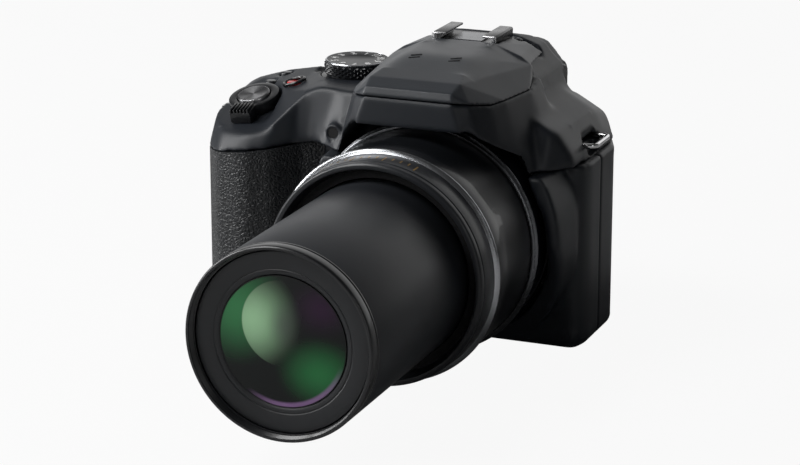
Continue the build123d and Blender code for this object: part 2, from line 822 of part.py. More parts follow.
with BuildPart() as front_case:
    add(lower_body.part)
    add(shroud.part)
    add(below_line, mode=Mode.INTERSECT)
    add(mouth, mode=Mode.SUBTRACT)
    add(round_mouth.part, mode=Mode.SUBTRACT)
    add(barrel_hole, mode=Mode.SUBTRACT)
    add(room.part, mode=Mode.SUBTRACT)
    add(battery_pocket, mode=Mode.SUBTRACT)
    add(divider_wall.part)
    add(rod(upright(capacitor_x, capacitor_y), capacitor_r + gap, *capacitor_z), mode=Mode.SUBTRACT)
    add(door_recess, mode=Mode.SUBTRACT)
    add(door_boss)
    add(door_slot, mode=Mode.SUBTRACT)
    add(door_pin_hole, mode=Mode.SUBTRACT)
    add(socket_seat, mode=Mode.SUBTRACT)
    add(grip_cover.part, mode=Mode.SUBTRACT)
    add(ahead_of_seam, mode=Mode.INTERSECT)
finish(front_case, "front_case")

port_hinge_y = port_y[1] - port_hinge_r
port_hinge_x = -grip_side + port_hinge_r
screen_y = back_reach + bezel_depth

with BuildPart() as rear_case:
    add(lower_body.part)
    add(
        block(
            (screen_x[0] - bezel_width, screen_x[1] + bezel_width),
            (0, screen_y),
            (screen_z[0] - bezel_width, part_line),
        )
    )
    add(room.part, mode=Mode.SUBTRACT)
    add(
        block(
            (screen_x[0] - screen_gap, screen_x[1] + screen_gap),
            (back_reach, back_reach + back_reach),
            (screen_z[0] - screen_gap, screen_z[1] + screen_gap),
        ),
        mode=Mode.SUBTRACT,
    )
    add(battery_pocket, mode=Mode.SUBTRACT)
    add(divider_wall.part)
    add(door_recess, mode=Mode.SUBTRACT)
    add(door_boss)
    add(door_slot, mode=Mode.SUBTRACT)
    add(door_pin_hole, mode=Mode.SUBTRACT)
    add(socket_seat, mode=Mode.SUBTRACT)
    for place in (play_place, display_place, menu_place, pad_place):
        add(back_hole(place), mode=Mode.SUBTRACT)
    add(
        block(
            (-grip_side - overrun, -grip_side + port_thickness + gap),
            (port_y[0] - gap, port_y[1] + gap),
            (port_z[0] - gap, port_z[1] + gap),
        ),
        mode=Mode.SUBTRACT,
    )
    add(
        block(
            (-grip_side, -grip_side + port_thickness + port_depth),
            (port_y[0] + port_wall, port_y[1] - port_wall),
            (port_z[0] + port_wall, port_z[1] - port_wall),
        ),
        mode=Mode.SUBTRACT,
    )
    add(below_line, mode=Mode.INTERSECT)
    add(behind_seam, mode=Mode.INTERSECT)
finish(rear_case, "rear_case")

# Fixed lens barrel with its spigot, collar and mounting flange
with BuildPart() as outer_barrel:
    add(
        turned(
            [
                (spigot_front, barrel_bore_r), (spigot_front, spigot_r), (silver_end, spigot_r),
                (silver_end, groove_r), (collar_start, groove_r), (collar_start, collar_r),
                (collar_end, collar_r), (collar_end, barrel_r), (flange_front, barrel_r),
                (flange_front, flange_r), (flange_front + flange_length, flange_r),
                (flange_front + flange_length, barrel_r), (base_front, barrel_r), (base_front, barrel_bore_r),
            ]
        )
    )
    split(bisect_by=Plane.XY.offset(axis_height + flange_flat), keep=Keep.BOTTOM)
    split(bisect_by=Plane.XY.offset(axis_height - flange_flat), keep=Keep.TOP)
finish(outer_barrel, "outer_barrel")

ring_chamfer = 0.4
with BuildPart() as front_ring:
    add(
        turned(
            [
                (rim_y, rim_inner_r), (rim_y, rim_outer_r - ring_chamfer), (rim_y + ring_chamfer, rim_outer_r),
                (band_end, band_r), (band_end, spigot_r + press_gap), (spigot_front, spigot_r + press_gap),
                (spigot_front, rim_inner_r),
            ]
        )
    )
finish(front_ring, "front_ring")

with BuildPart() as silver_ring:
    add(
        turned(
            [
                (band_end, spigot_r + press_gap), (band_end, band_r), (band_end + ring_chamfer, silver_r),
                (silver_end, silver_r), (silver_end, spigot_r + press_gap),
            ]
        )
    )
finish(silver_ring, "silver_ring")

rear_ring_reach = 44.5
rear_ring_length = 3.0
rear_ring_r = 37.4
rear_ring_y = -rear_ring_reach
with BuildPart() as rear_ring:
    add(
        turned(
            [
                (rear_ring_y, barrel_r + press_gap), (rear_ring_y, rear_ring_r - ring_chamfer),
                (rear_ring_y + ring_chamfer, rear_ring_r),
                (rear_ring_y + rear_ring_length - ring_chamfer, rear_ring_r),
                (rear_ring_y + rear_ring_length, rear_ring_r - ring_chamfer),
                (rear_ring_y + rear_ring_length, barrel_r + press_gap),
            ]
        )
    )
finish(rear_ring, "rear_ring")

shield_depth = 4.5
shield_thickness = 1.0
shield_inner_r = 29.2
shield_back = rim_y + shield_depth + shield_thickness
with BuildPart() as light_shield:
    add(
        turned(
            [
                (rim_y + shield_depth, shield_inner_r), (rim_y + shield_depth, rim_inner_r - press_gap),
                (shield_back, rim_inner_r - press_gap), (shield_back, shield_inner_r),
            ]
        )
    )
finish(light_shield, "light_shield")

# Turning cam ring inside the fixed barrel
cam_outer_r = 31.2
cam_inner_r = 28.95
cam_front = shield_back + gap
cam_back = -20.0
with BuildPart() as cam_ring:
    add(
        turned([(cam_front, cam_inner_r), (cam_front, cam_outer_r), (cam_back, cam_outer_r), (cam_back, cam_inner_r)])
    )
finish(cam_ring, "cam_ring")

base_r = 34.0
sensor_half_x = 13.0
sensor_half_z = 11.0
sensor_thickness = 4.0
light_hole_r = 10.0
with BuildPart() as lens_base:
    add(turned([(base_front, light_hole_r), (base_front, base_r), (base_back, base_r), (base_back, light_hole_r)]))
finish(lens_base, "lens_base")

with BuildPart() as image_sensor:
    add(
        block(
            (-sensor_half_x, sensor_half_x),
            (base_back, base_back + sensor_thickness),
            (axis_height - sensor_half_z, axis_height + sensor_half_z),
        )
    )
finish(image_sensor, "image_sensor")

# Moving lens groups on two guide rods
rod_r = 1.0
rod_offset = 22.0
rod_front = -79.5
rod_angle = 45.0
rod_count = 2


def guide_bars(clearance, start, end):
    """Both guide rods, or the holes that take them, between two places along Y."""
    with BuildPart() as solid:
        with BuildSketch(rearward(0, axis_height).offset(start)):
            with PolarLocations(rod_offset, rod_count, start_angle=rod_angle):
                Circle(rod_r + clearance)
        extrude(amount=end - start)
    return solid.part


with BuildPart() as guide_rods:
    add(guide_bars(0, rod_front, base_front))
finish(guide_rods, "guide_rods")

zoom_r = 28.6
zoom_inner_r = 27.1
zoom_reach = 152.8
zoom_stroke = 63.5
zoom_front = -zoom_reach
zoom_back = base_front - gap - gap - zoom_stroke
thread_minor_r = 27.15
thread_depth = 2.4
ring_length = 4.8
shelf_front = 4.3
shelf_back = 7.3
glass_r = 21.5
name_r = 26.7
rim_r = 28.35
filter_chamfer = 0.3
with BuildPart() as filter_ring:
    add(
        turned(
            [
                (zoom_front, thread_minor_r + filter_chamfer), (zoom_front, rim_r), (zoom_front + wall, zoom_r),
                (zoom_front + ring_length, zoom_r), (zoom_front + ring_length, zoom_inner_r - press_gap),
                (zoom_front + shelf_back, zoom_inner_r - press_gap), (zoom_front + shelf_back, glass_r + press_gap),
                (zoom_front + shelf_front, glass_r + press_gap), (zoom_front + shelf_front, name_r + press_gap),
                (zoom_front + thread_depth, name_r + press_gap), (zoom_front + thread_depth, thread_minor_r),
                (zoom_front + filter_chamfer, thread_minor_r),
            ]
        )
    )
finish(filter_ring, "filter_ring")

with BuildPart() as zoom_barrel:
    add(
        turned(
            [
                (zoom_front + ring_length, zoom_inner_r), (zoom_front + ring_length, zoom_r),
                (zoom_back, zoom_r), (zoom_back, zoom_inner_r),
            ]
        )
    )
finish(zoom_barrel, "zoom_barrel")

name_inner_r = 19.3
name_slope = 0.7
name_front = zoom_front + thread_depth + ring_chamfer
with BuildPart() as name_ring:
    add(
        turned(
            [
                (name_front, name_r), (zoom_front + shelf_front, name_r),
                (zoom_front + shelf_front, name_inner_r), (name_front + name_slope, name_inner_r),
            ]
        )
    )
finish(name_ring, "name_ring")

# Front lens: a flange behind the name ring, and a domed face through it
glass_dome = 1.0
glass_edge = name_front + name_slope
glass_seat = zoom_front + shelf_front + press_gap
glass_neck_r = name_inner_r - gap
with BuildPart() as front_glass:
    with BuildSketch(Plane(origin=(0, 0, axis_height), x_dir=(0, 1, 0), z_dir=(1, 0, 0))):
        with BuildLine():
            Polyline(
                (glass_edge - glass_dome, 0), (zoom_front + shelf_back, 0), (zoom_front + shelf_back, glass_r),
                (glass_seat, glass_r), (glass_seat, glass_neck_r), (glass_edge, glass_neck_r),
            )
            TangentArc((glass_edge - glass_dome, 0), (glass_edge, glass_neck_r), tangent=(0, 1))
        make_face()
    revolve(axis=Axis((0, 0, axis_height), (0, 1, 0)))
finish(front_glass, "front_glass")

variator_y = (-79.0, -72.0)
variator_r = 26.6
with BuildPart() as variator_group:
    add(turned([(variator_y[0], 0), (variator_y[0], variator_r), (variator_y[1], variator_r), (variator_y[1], 0)]))
    add(guide_bars(running_gap, variator_y[0] - overrun, variator_y[1] + overrun), mode=Mode.SUBTRACT)
finish(variator_group, "variator_group")

shutter_unit_y = (-50.0, -42.0)
shutter_unit_r = 26.0
with BuildPart() as shutter_unit:
    add(
        turned(
            [
                (shutter_unit_y[0], light_hole_r), (shutter_unit_y[0], shutter_unit_r),
                (shutter_unit_y[1], shutter_unit_r), (shutter_unit_y[1], light_hole_r),
            ]
        )
    )
    add(guide_bars(press_gap, shutter_unit_y[0] - overrun, shutter_unit_y[1] + overrun), mode=Mode.SUBTRACT)
finish(shutter_unit, "shutter_unit")

focus_y = (-28.0, -22.0)
focus_r = 25.5
with BuildPart() as focus_group:
    add(turned([(focus_y[0], 0), (focus_y[0], focus_r), (focus_y[1], focus_r), (focus_y[1], 0)]))
    add(guide_bars(running_gap, focus_y[0] - overrun, focus_y[1] + overrun), mode=Mode.SUBTRACT)
finish(focus_group, "focus_group")

motor_r = 6.0
motor_x = 34.5
motor_y = (-19.7, -4.0)
motor_z = wall + motor_r + gap
with BuildPart() as zoom_motor:
    add(rod(rearward(motor_x, motor_z), motor_r, *motor_y))
finish(zoom_motor, "zoom_motor")

# Chassis plate across the room, with posts that carry the main board
chassis_y = (-3.0, -1.8)
board_y = (1.0, 2.2)
chassis_high = 50.0
post_r = 2.0
post_inset = 4.0
chassis_x = (card_x[1] + gap, room_right - seam_gap)
chassis_low = socket_height + gap
with BuildPart() as chassis_plate:
    add(block(chassis_x, chassis_y, (chassis_low, chassis_high)))
    for x in (chassis_x[0] + post_inset, chassis_x[1] - post_inset):
        for z in (chassis_low + post_inset, chassis_high - post_inset):
            add(rod(rearward(x, z), post_r, chassis_y[0], board_y[0]))
finish(chassis_plate, "chassis_plate")

with BuildPart() as main_board:
    add(block(chassis_x, board_y, (chassis_low, chassis_high)))
finish(main_board, "main_board")

with BuildPart() as tripod_socket:
    add(rod(Plane.XY, socket_r, 0, socket_height - press_gap))
    add(rod(Plane.XY, thread_r, -overrun, socket_height - wall), mode=Mode.SUBTRACT)
finish(tripod_socket, "tripod_socket")

with BuildPart() as battery:
    add(block(battery_x, battery_y, battery_z))
finish(battery, "battery")

with BuildPart() as memory_card:
    add(block(card_x, card_y, card_z))
finish(memory_card, "memory_card")

with BuildPart() as flash_capacitor:
    add(rod(upright(capacitor_x, capacitor_y), capacitor_r, capacitor_z[0] + gap, capacitor_z[1] - gap))
finish(flash_capacitor, "flash_capacitor")

screen_inset = 2.0
module_y = (15.0, back_reach - back_wall - seam_gap)
with BuildPart() as lcd_module:
    add(
        block(
            (screen_x[0] + screen_inset, screen_x[1] - screen_inset),
            module_y,
            (screen_z[0] + screen_inset, screen_z[1] - screen_inset - screen_inset - screen_inset),
        )
    )
finish(lcd_module, "lcd_module")

with BuildPart() as lcd_glass:
    add(block(screen_x, (back_reach, screen_y - seam_gap), screen_z))
finish(lcd_glass, "lcd_glass")

with BuildPart() as evf_module:
    add(block((-evf_half, evf_half), evf_y, evf_z))
finish(evf_module, "evf_module")

eyecup_half = 21.6
eyecup_z = (65.4, 82.2)
eyecup_depth = 4.0
eyecup_wall_x = 8.0
eyecup_wall_z = 3.4
eyecup_round = 3.0
with BuildPart() as eyecup:
    with BuildSketch(rearward(0, (eyecup_z[0] + eyecup_z[1]) / 2).offset(hump_back)):
        RectangleRounded(eyecup_half + eyecup_half, eyecup_z[1] - eyecup_z[0], eyecup_round)
        RectangleRounded(
            eyecup_half + eyecup_half - eyecup_wall_x - eyecup_wall_x,
            eyecup_z[1] - eyecup_z[0] - eyecup_wall_z - eyecup_wall_z,
            eyecup_round,
            mode=Mode.SUBTRACT,
        )
    extrude(amount=eyecup_depth)
finish(eyecup, "eyecup")

with BuildPart() as speaker:
    add(rod(upright(speaker_x, speaker_y), speaker_r, *speaker_z))
finish(speaker, "speaker")

with BuildPart() as af_lamp:
    add(rod(lamp_line, lamp_r, lamp_front + ring_chamfer, lamp_front + lamp_depth))
finish(af_lamp, "af_lamp")

with BuildPart() as strap_eyelets:
    for side, outer in loops:
        add(eyelet_plate(side, outer))
        add(eyelet_hole(side, outer), mode=Mode.SUBTRACT)
finish(strap_eyelets, "strap_eyelets")

socket_half = 2.2
socket_shares = (0.3, 0.7)
socket_inner = -grip_side + port_thickness + port_depth
with BuildPart() as port_sockets:
    for share in socket_shares:
        centre = port_z[0] + (port_z[1] - port_z[0]) * share
        add(
            block(
                (-grip_side + port_thickness + gap, socket_inner),
                (port_y[0] + port_wall + seam_gap, port_y[1] - port_wall - seam_gap),
                (centre - socket_half - overrun, centre + socket_half + overrun),
            )
        )
        add(
            block(
                (-grip_side, socket_inner - wall),
                (port_y[0] + port_wall + overrun, port_y[1] - port_wall - overrun),
                (centre - socket_half, centre + socket_half),
            ),
            mode=Mode.SUBTRACT,
        )
finish(port_sockets, "port_sockets")

with BuildPart() as flash_hinge_pin:
    add(rod(hinge_line, pin_r, -ear_far, ear_far))
finish(flash_hinge_pin, "flash_hinge_pin")

# Flash lid: a faceted cap drawn as the hull of its edges, with a narrower hinge end behind it
lid_edge_shares = [(0.32, -1.0), (0.42, -0.939), (0.5, -0.809), (0.547, -0.678), (0.602, -0.393)]
lid_rear_shares = (0.538, 0.52, 0.236)
lid_panel_shares = [(0.31, -0.985, 0.46), (0.325, -0.887, 0.64), (0.232, -0.557, 0.985)]
lid_rise = 1.1
lid_top = hump_height + lid_rise
lid_points = []
for across, along in lid_edge_shares:
    ramp = (-hood_reach * along - seam_level_reach) / (hood_reach - seam_level_reach)
    edge_z = seam_level_z + seam_gap + (seam_front_z - seam_level_z) * max(0, ramp)
    lid_points.append((plain_side * across, hood_reach * along, edge_z))
for across, z in zip(lid_rear_shares, (step_low_z + gap, step_z, lid_top)):
    lid_points.append((plain_side * across, -step_reach - gap, z))
for across, along, up in lid_panel_shares:
    lid_points.append((plain_side * across, hood_reach * along, seam_level_z + (lid_top - seam_level_z) * up))
lid_points = lid_points + [(-x, y, z) for x, y, z in lid_points]
hinge_end_shares = [(0.515, 0.0), (0.5, 0.1), (0.44, 0.42), (0.236, 1.0)]
hinge_end_narrow = 0.91
hinge_end_drop = 1.0
hinge_end_points = []
for across, up in hinge_end_shares:
    for side in (1, -1):
        z = step_z + (lid_top - step_z) * up
        hinge_end_points.append((side * plain_side * across, -step_reach - overrun, z))
        rear_z = min(z, lid_top - hinge_end_drop)
        hinge_end_points.append((side * plain_side * across * hinge_end_narrow, hinge_y, rear_z))
shoe_half = 10.8
shoe_y = (-10.0, 6.5)
shoe_sink = 0.5
shoe_height = 3.3
shoe_low = hump_height - shoe_sink
shoe_plate = 0.6
shoe_rail_half = 6.3
shoe_rail_top = shoe_low + shoe_height
shoe_rail_wall = 0.7
shoe_slot = 9.4
with BuildPart() as flash_lid:
    ConvexPolyhedron(lid_points)
    ConvexPolyhedron(hinge_end_points)
    add(rod(hinge_line, knuckle_r, -knuckle_half, knuckle_half))
    add(
        block(
            (-flash_half - gap, flash_half + gap), (well_front, flash_y[1] + gap), (seam_level_z - overrun, flash_top)
        ),
        mode=Mode.SUBTRACT,
    )
    for side in (1, -1):
        ear_room = (
            min(side * knuckle_half, side * (ear_far + gap)), max(side * knuckle_half, side * (ear_far + gap))
        )
        add(rod(hinge_line, ear_r + gap, *ear_room), mode=Mode.SUBTRACT)
        add(
            block(
                ear_room,
                (hinge_y - ear_r - gap - wall, hinge_y + knuckle_r + gap),
                (hinge_z - knuckle_r - gap, hinge_z),
            ),
            mode=Mode.SUBTRACT,
        )
    add(rod(hinge_line, pin_r + running_gap, -plain_side, plain_side), mode=Mode.SUBTRACT)
    add(
        block(
            (-shoe_half - gap, shoe_half + gap),
            (shoe_y[0] - gap, hinge_y + knuckle_r + gap),
            (shoe_low, lid_top + overrun),
        ),
        mode=Mode.SUBTRACT,
    )
finish(flash_lid, "flash_lid")

with BuildPart() as flash_head:
    add(block((-flash_half, flash_half), flash_y, (flash_low, flash_top)))
finish(flash_head, "flash_head")

# Accessory shoe: a plate with two rails that turn in over it
with BuildPart() as hot_shoe:
    add(block((-shoe_half, shoe_half), shoe_y, (shoe_low, shoe_low + shoe_plate)))
    for side in (1, -1):
        lip = (min(side * shoe_rail_half, side * shoe_half), max(side * shoe_rail_half, side * shoe_half))
        post = (min(side * shoe_slot, side * shoe_half), max(side * shoe_slot, side * shoe_half))
        add(block(lip, shoe_y, (shoe_rail_top - shoe_rail_wall, shoe_rail_top)))
        add(block(post, shoe_y, (shoe_low, shoe_rail_top)))
    fillet(hot_shoe.edges().filter_by(Axis.Y).group_by(Axis.Z)[-1].group_by(Axis.X)[0], radius=shoe_rail_wall)
    fillet(hot_shoe.edges().filter_by(Axis.Y).group_by(Axis.Z)[-1].group_by(Axis.X)[-1], radius=shoe_rail_wall)
finish(hot_shoe, "hot_shoe")

contact_half = 5.0
contact_margin = 3.0
contact_height = 0.4
with BuildPart() as shoe_contacts:
    add(
        block(
            (-contact_half, contact_half),
            (shoe_y[0] + contact_margin, shoe_y[1] - contact_margin),
            (shoe_low + shoe_plate, shoe_low + shoe_plate + contact_height),
        )
    )
finish(shoe_contacts, "shoe_contacts")

# Mode dial with its post, and the power lever under it
with BuildPart() as mode_dial:
    add(rod(dial_centre, dial_r, dial_low, dial_high))
    chamfer(mode_dial.edges().sort_by(Axis.Z)[-1], length=ring_chamfer)
    add(rod(dial_centre, dial_post_r, dial_post_low, dial_low))
finish(mode_dial, "mode_dial")

with BuildPart() as power_lever:
    add(rod(dial_centre, lever_r, pad_top + gap, pad_top + gap + lever_thickness))
    add(lever_tab(lever_tab_angle, 0, pad_top + gap, pad_top + gap + lever_thickness))
    add(rod(dial_centre, dial_post_r + gap, pad_top, dial_low), mode=Mode.SUBTRACT)
finish(power_lever, "power_lever")

# Zoom lever: a ring round the shutter button with a ribbed tab at its front
tab_ribs = 6
with BuildPart() as zoom_lever:
    with BuildSketch(shutter_seat.offset(gap)):
        Circle(zoom_lever_r)
        with Locations((0, (zoom_lever_r + zoom_tab_reach) / 2)):
            Rectangle(zoom_tab_half + zoom_tab_half, zoom_tab_reach - zoom_lever_r + wall)
        Circle(shutter_r + gap, mode=Mode.SUBTRACT)
    extrude(amount=zoom_lever_high - gap)
    with BuildSketch(shutter_seat.offset(zoom_lever_high)):
        with Locations((0, (zoom_lever_r + zoom_tab_reach) / 2)):
            with GridLocations((zoom_tab_half + zoom_tab_half) / tab_ribs, 0, tab_ribs, 1):
                Rectangle(zoom_rib, zoom_tab_reach - zoom_lever_r + wall)
    extrude(amount=zoom_tab_high - zoom_lever_high)
finish(zoom_lever, "zoom_lever")

with BuildPart() as shutter_button:
    add(rod(shutter_seat, shutter_r, shutter_low, shutter_high))
    chamfer(shutter_button.edges().filter_by(GeomType.CIRCLE).sort_by(Axis.Z)[-1], length=ring_chamfer)
finish(shutter_button, "shutter_button")

for name, place in (("record_button", record_place), ("burst_button", burst_place), ("focus_button", focus_place)):
    with BuildPart() as button:
        add(rod(upright(place[0], place[1]), place[3], place[2] - deck_button_length, place[2]))
        chamfer(button.edges().sort_by(Axis.Z)[-1], length=ring_chamfer)
    finish(button, name)

for name, place in (
    ("lock_button", lock_place), ("lvf_button", lvf_place), ("play_button", play_place),
    ("display_button", display_place), ("quick_menu_button", menu_place),
):
    with BuildPart() as button:
        seat = rearward(place[0], place[1])
        add(rod(seat, place[2], back_reach - back_wall - gap, back_reach + back_proud))
        chamfer(button.edges().sort_by(Axis.Y)[-1], length=ring_chamfer)
        add(
            rod(seat, place[2] + back_flange, back_reach - back_wall - gap - back_flange, back_reach - back_wall - gap)
        )
    finish(button, name)

with BuildPart() as cursor_pad:
    pad_seat = rearward(pad_place[0], pad_place[1])
    add(rod(pad_seat, pad_place[2], back_reach - back_wall - gap, back_reach + back_proud))
    chamfer(cursor_pad.edges().sort_by(Axis.Y)[-1], length=ring_chamfer)
    add(
        rod(
            pad_seat,
            pad_place[2] + back_flange,
            back_reach - back_wall - gap - back_flange,
            back_reach - back_wall - gap,
        )
    )
    add(rod(pad_seat, set_r + gap, module_y[0], back_reach + back_reach), mode=Mode.SUBTRACT)
finish(cursor_pad, "cursor_pad")

with BuildPart() as set_button:
    add(rod(pad_seat, set_r, back_reach - back_wall - gap - back_flange, back_reach + back_proud))
    chamfer(set_button.edges().sort_by(Axis.Y)[-1], length=ring_chamfer)
finish(set_button, "set_button")

with BuildPart() as rear_dial:
    add(rod(rear_dial_centre, rear_dial_r, -rear_dial_half, rear_dial_half))
    add(rod(rear_dial_centre, rear_dial_post_r, -rear_dial_half - rear_dial_post, rear_dial_half + rear_dial_post))
finish(rear_dial, "rear_dial")

with BuildPart() as dioptre_wheel:
    add(rod(wheel_line, wheel_r, wheel_inner, wheel_outer))
    chamfer(dioptre_wheel.edges().sort_by(Axis.X)[-1], length=ring_chamfer)
finish(dioptre_wheel, "dioptre_wheel")

with BuildPart() as flash_button:
    add(rod(release_line, release_r, release_inner, release_outer))
    chamfer(flash_button.edges().sort_by(Axis.X)[0], length=ring_chamfer)
finish(flash_button, "flash_button")

# Battery door with its hinge barrel, and the latch that slides in it
latch_x = (-76.5, -72.0)
latch_y = (-9.5, -2.5)
latch_travel = 3.0
latch_depth = 1.2
latch_thickness = 0.9
with BuildPart() as battery_door:
    add(block(door_x, door_y, (0, wall)))
    add(block((door_x[1] - overrun, door_hinge_x), knuckle_y, (door_hinge_z - door_knuckle_r, wall)))
    add(rod(door_axis, door_knuckle_r, *knuckle_y))
    add(rod(door_axis, door_pin_r, knuckle_y[0] - door_pin_length, knuckle_y[1] + door_pin_length))
    add(
        block(
            (latch_x[0] - gap, latch_x[1] + gap),
            (latch_y[0] - gap, latch_y[1] + latch_travel + gap),
            (-overrun, latch_depth),
        ),
        mode=Mode.SUBTRACT,
    )
finish(battery_door, "battery_door")

with BuildPart() as battery_latch:
    add(block(latch_x, latch_y, (latch_depth - latch_thickness - gap, latch_depth - gap)))
finish(battery_latch, "battery_latch")

with BuildPart() as port_door:
    add(block((-grip_side, -grip_side + port_thickness), (port_y[0], port_hinge_y), port_z))
    add(rod(upright(port_hinge_x, port_hinge_y), port_hinge_r, *port_z))
finish(port_door, "port_door")
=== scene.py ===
from math import cos, radians, sin, tau

import bmesh
import bpy
from mathutils import Matrix, Vector
from mathutils.bvhtree import BVHTree


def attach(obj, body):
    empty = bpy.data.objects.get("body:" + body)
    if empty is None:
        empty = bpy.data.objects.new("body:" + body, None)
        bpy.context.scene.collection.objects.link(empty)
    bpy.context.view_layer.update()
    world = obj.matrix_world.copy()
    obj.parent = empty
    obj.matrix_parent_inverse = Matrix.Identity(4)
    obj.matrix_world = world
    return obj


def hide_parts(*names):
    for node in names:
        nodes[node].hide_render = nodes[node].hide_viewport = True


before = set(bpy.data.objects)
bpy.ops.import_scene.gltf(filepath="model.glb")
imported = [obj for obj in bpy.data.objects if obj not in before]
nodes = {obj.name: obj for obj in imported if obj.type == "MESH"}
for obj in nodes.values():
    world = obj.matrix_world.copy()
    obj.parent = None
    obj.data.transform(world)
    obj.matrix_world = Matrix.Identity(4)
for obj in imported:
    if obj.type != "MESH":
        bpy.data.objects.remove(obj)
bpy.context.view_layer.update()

# Housing shells: front and rear case and the top cover, moulded in glass-filled plastic and screwed together.
# Their spark-eroded texture is fine and matt, and every edge is rounded as the mould leaves it.
# The shells are copies of the solid ones, remeshed so that their edges turn softly.
MM = 0.001
SHELL = (0.0110, 0.0135, 0.0180)
BODY = "camera_body"


class Wire:
    """One socket of a material, so that shader maths reads as plain sums."""

    def __init__(self, tree, socket):
        self.tree = tree
        self.socket = socket

    def node(self, kind, settings=None, inputs=None, output=0):
        """Any node: its type, its settings, its inputs as values or wires, and which output is used."""
        made = self.tree.nodes.new("ShaderNode" + kind)
        for name, value in (settings or {}).items():
            if name == "stops":
                for element, (place, tone) in zip(made.color_ramp.elements, value):
                    element.position = place
                    element.color = (*tone, 1)
            else:
                setattr(made, name, value)
        for name, value in (inputs or {}).items():
            if isinstance(value, Wire):
                self.tree.links.new(value.socket, made.inputs[name])
            else:
                made.inputs[name].default_value = value
        return Wire(self.tree, made.outputs[output])

    def maths(self, operation, other=None):
        """One Math node on this socket and a number or another socket."""
        inputs = {0: self} if other is None else {0: self, 1: other}
        return self.node("Math", {"operation": operation}, inputs)

    def step(self, start, end):
        """A smooth rise from 0 to 1 between two values."""
        settings = {"interpolation_type": "SMOOTHSTEP"}
        return self.node("MapRange", settings, {"Value": self, "From Min": start, "From Max": end})

    def __add__(self, other):
        return self.maths("ADD", other)

    def __mul__(self, other):
        return self.maths("MULTIPLY", other)

    def __truediv__(self, other):
        return self.maths("DIVIDE", other)

    def __sub__(self, other):
        return self.maths("SUBTRACT", other)

    def __rsub__(self, other):
        return self.node("Math", {"operation": "SUBTRACT"}, {0: other, 1: self})


def new_finish(name, colour, rough, metal=0.0, coat=0.0):
    """A material with its shader's even values set: returns it, its shader and its Object coordinates."""
    material = bpy.data.materials.new(name)
    material.use_nodes = True
    tree = material.node_tree
    shader = tree.nodes["Principled BSDF"]
    shader.inputs["Base Color"].default_value = (*colour, 1)
    shader.inputs["Roughness"].default_value = rough
    shader.inputs["Metallic"].default_value = metal
    shader.inputs["Coat Weight"].default_value = coat
    place = Wire(tree, tree.nodes.new("ShaderNodeTexCoord").outputs["Object"])
    return material, shader, place


def feed(shader, socket, wire):
    """Join a wire to one socket of a shader."""
    wire.tree.links.new(wire.socket, shader.inputs[socket])


def noise(place, scale, detail=3.0):
    """Even grey noise over the surface."""
    return place.node("TexNoise", None, {"Vector": place, "Scale": scale, "Detail": detail}, "Fac")


def tinted(place, colour, share, grain):
    """The colour, a little lighter and darker over the surface."""
    low = tuple(c * (1 - share) for c in colour)
    high = tuple(c * (1 + share) for c in colour)
    stops = [(0.35, low), (0.65, high)]
    return place.node("ValToRGB", {"stops": stops}, {"Fac": noise(place, grain, 4.0)}, "Color")


def mixed(factor, low, high):
    """One colour over another, by a factor. Either may be a wire or a plain colour."""
    low, high = (tone if isinstance(tone, Wire) else (*tone, 1) for tone in (low, high))
    return factor.node("Mix", {"data_type": "RGBA"}, {"Factor": factor, 6: low, 7: high}, 2)


def relief(height, depth, strength=1.0):
    """A bump from a height."""
    return height.node("Bump", None, {"Height": height, "Distance": depth, "Strength": strength})


def uneven(name, colour, share, grain, rough, swing, patches, metal=0.0, coat=0.0):
    """A material that varies over its surface. The colour goes a share up and down, by noise of one scale, and the
    roughness starts at its low end and rises by a swing, by noise of another scale."""
    material, shader, place = new_finish(name, colour, rough, metal, coat)
    feed(shader, "Base Color", tinted(place, colour, share, grain))
    feed(shader, "Roughness", noise(place, patches) * swing + rough)
    return material, shader, place


def moulded(name, colour, rough=0.42, pitch=0.35 * MM, depth=0.03 * MM, spread=0.05, coat=0.0):
    """Matt moulded plastic: fine eroded texture, and a sheen that varies a little."""
    material, shader, place = uneven(name, colour, 0.08, 60.0, rough - spread, 2 * spread, 90.0, coat=coat)
    shader.inputs["Specular IOR Level"].default_value = 0.4
    feed(shader, "Normal", relief(noise(place, 1 / pitch, 2.0), depth, 0.7))
    return material


def dress(name, material):
    """Give a carried-over node its finish."""
    nodes[name].data.materials.clear()
    nodes[name].data.materials.append(material)


def welded(name):
    """The shape of a node, its loose triangles joined."""
    shape = bmesh.new()
    shape.from_mesh(nodes[name].data)
    bmesh.ops.remove_doubles(shape, verts=shape.verts, dist=0.001 * MM)
    return shape


def show(name, mesh, finish, body, hides=()):
    """Put a finished mesh in the scene as a piece that rides on a body."""
    mesh.materials.clear()
    mesh.materials.append(finish)
    piece = bpy.data.objects.new(name, mesh)
    bpy.context.scene.collection.objects.link(piece)
    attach(piece, body)
    if hides:
        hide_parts(*hides)
    return piece


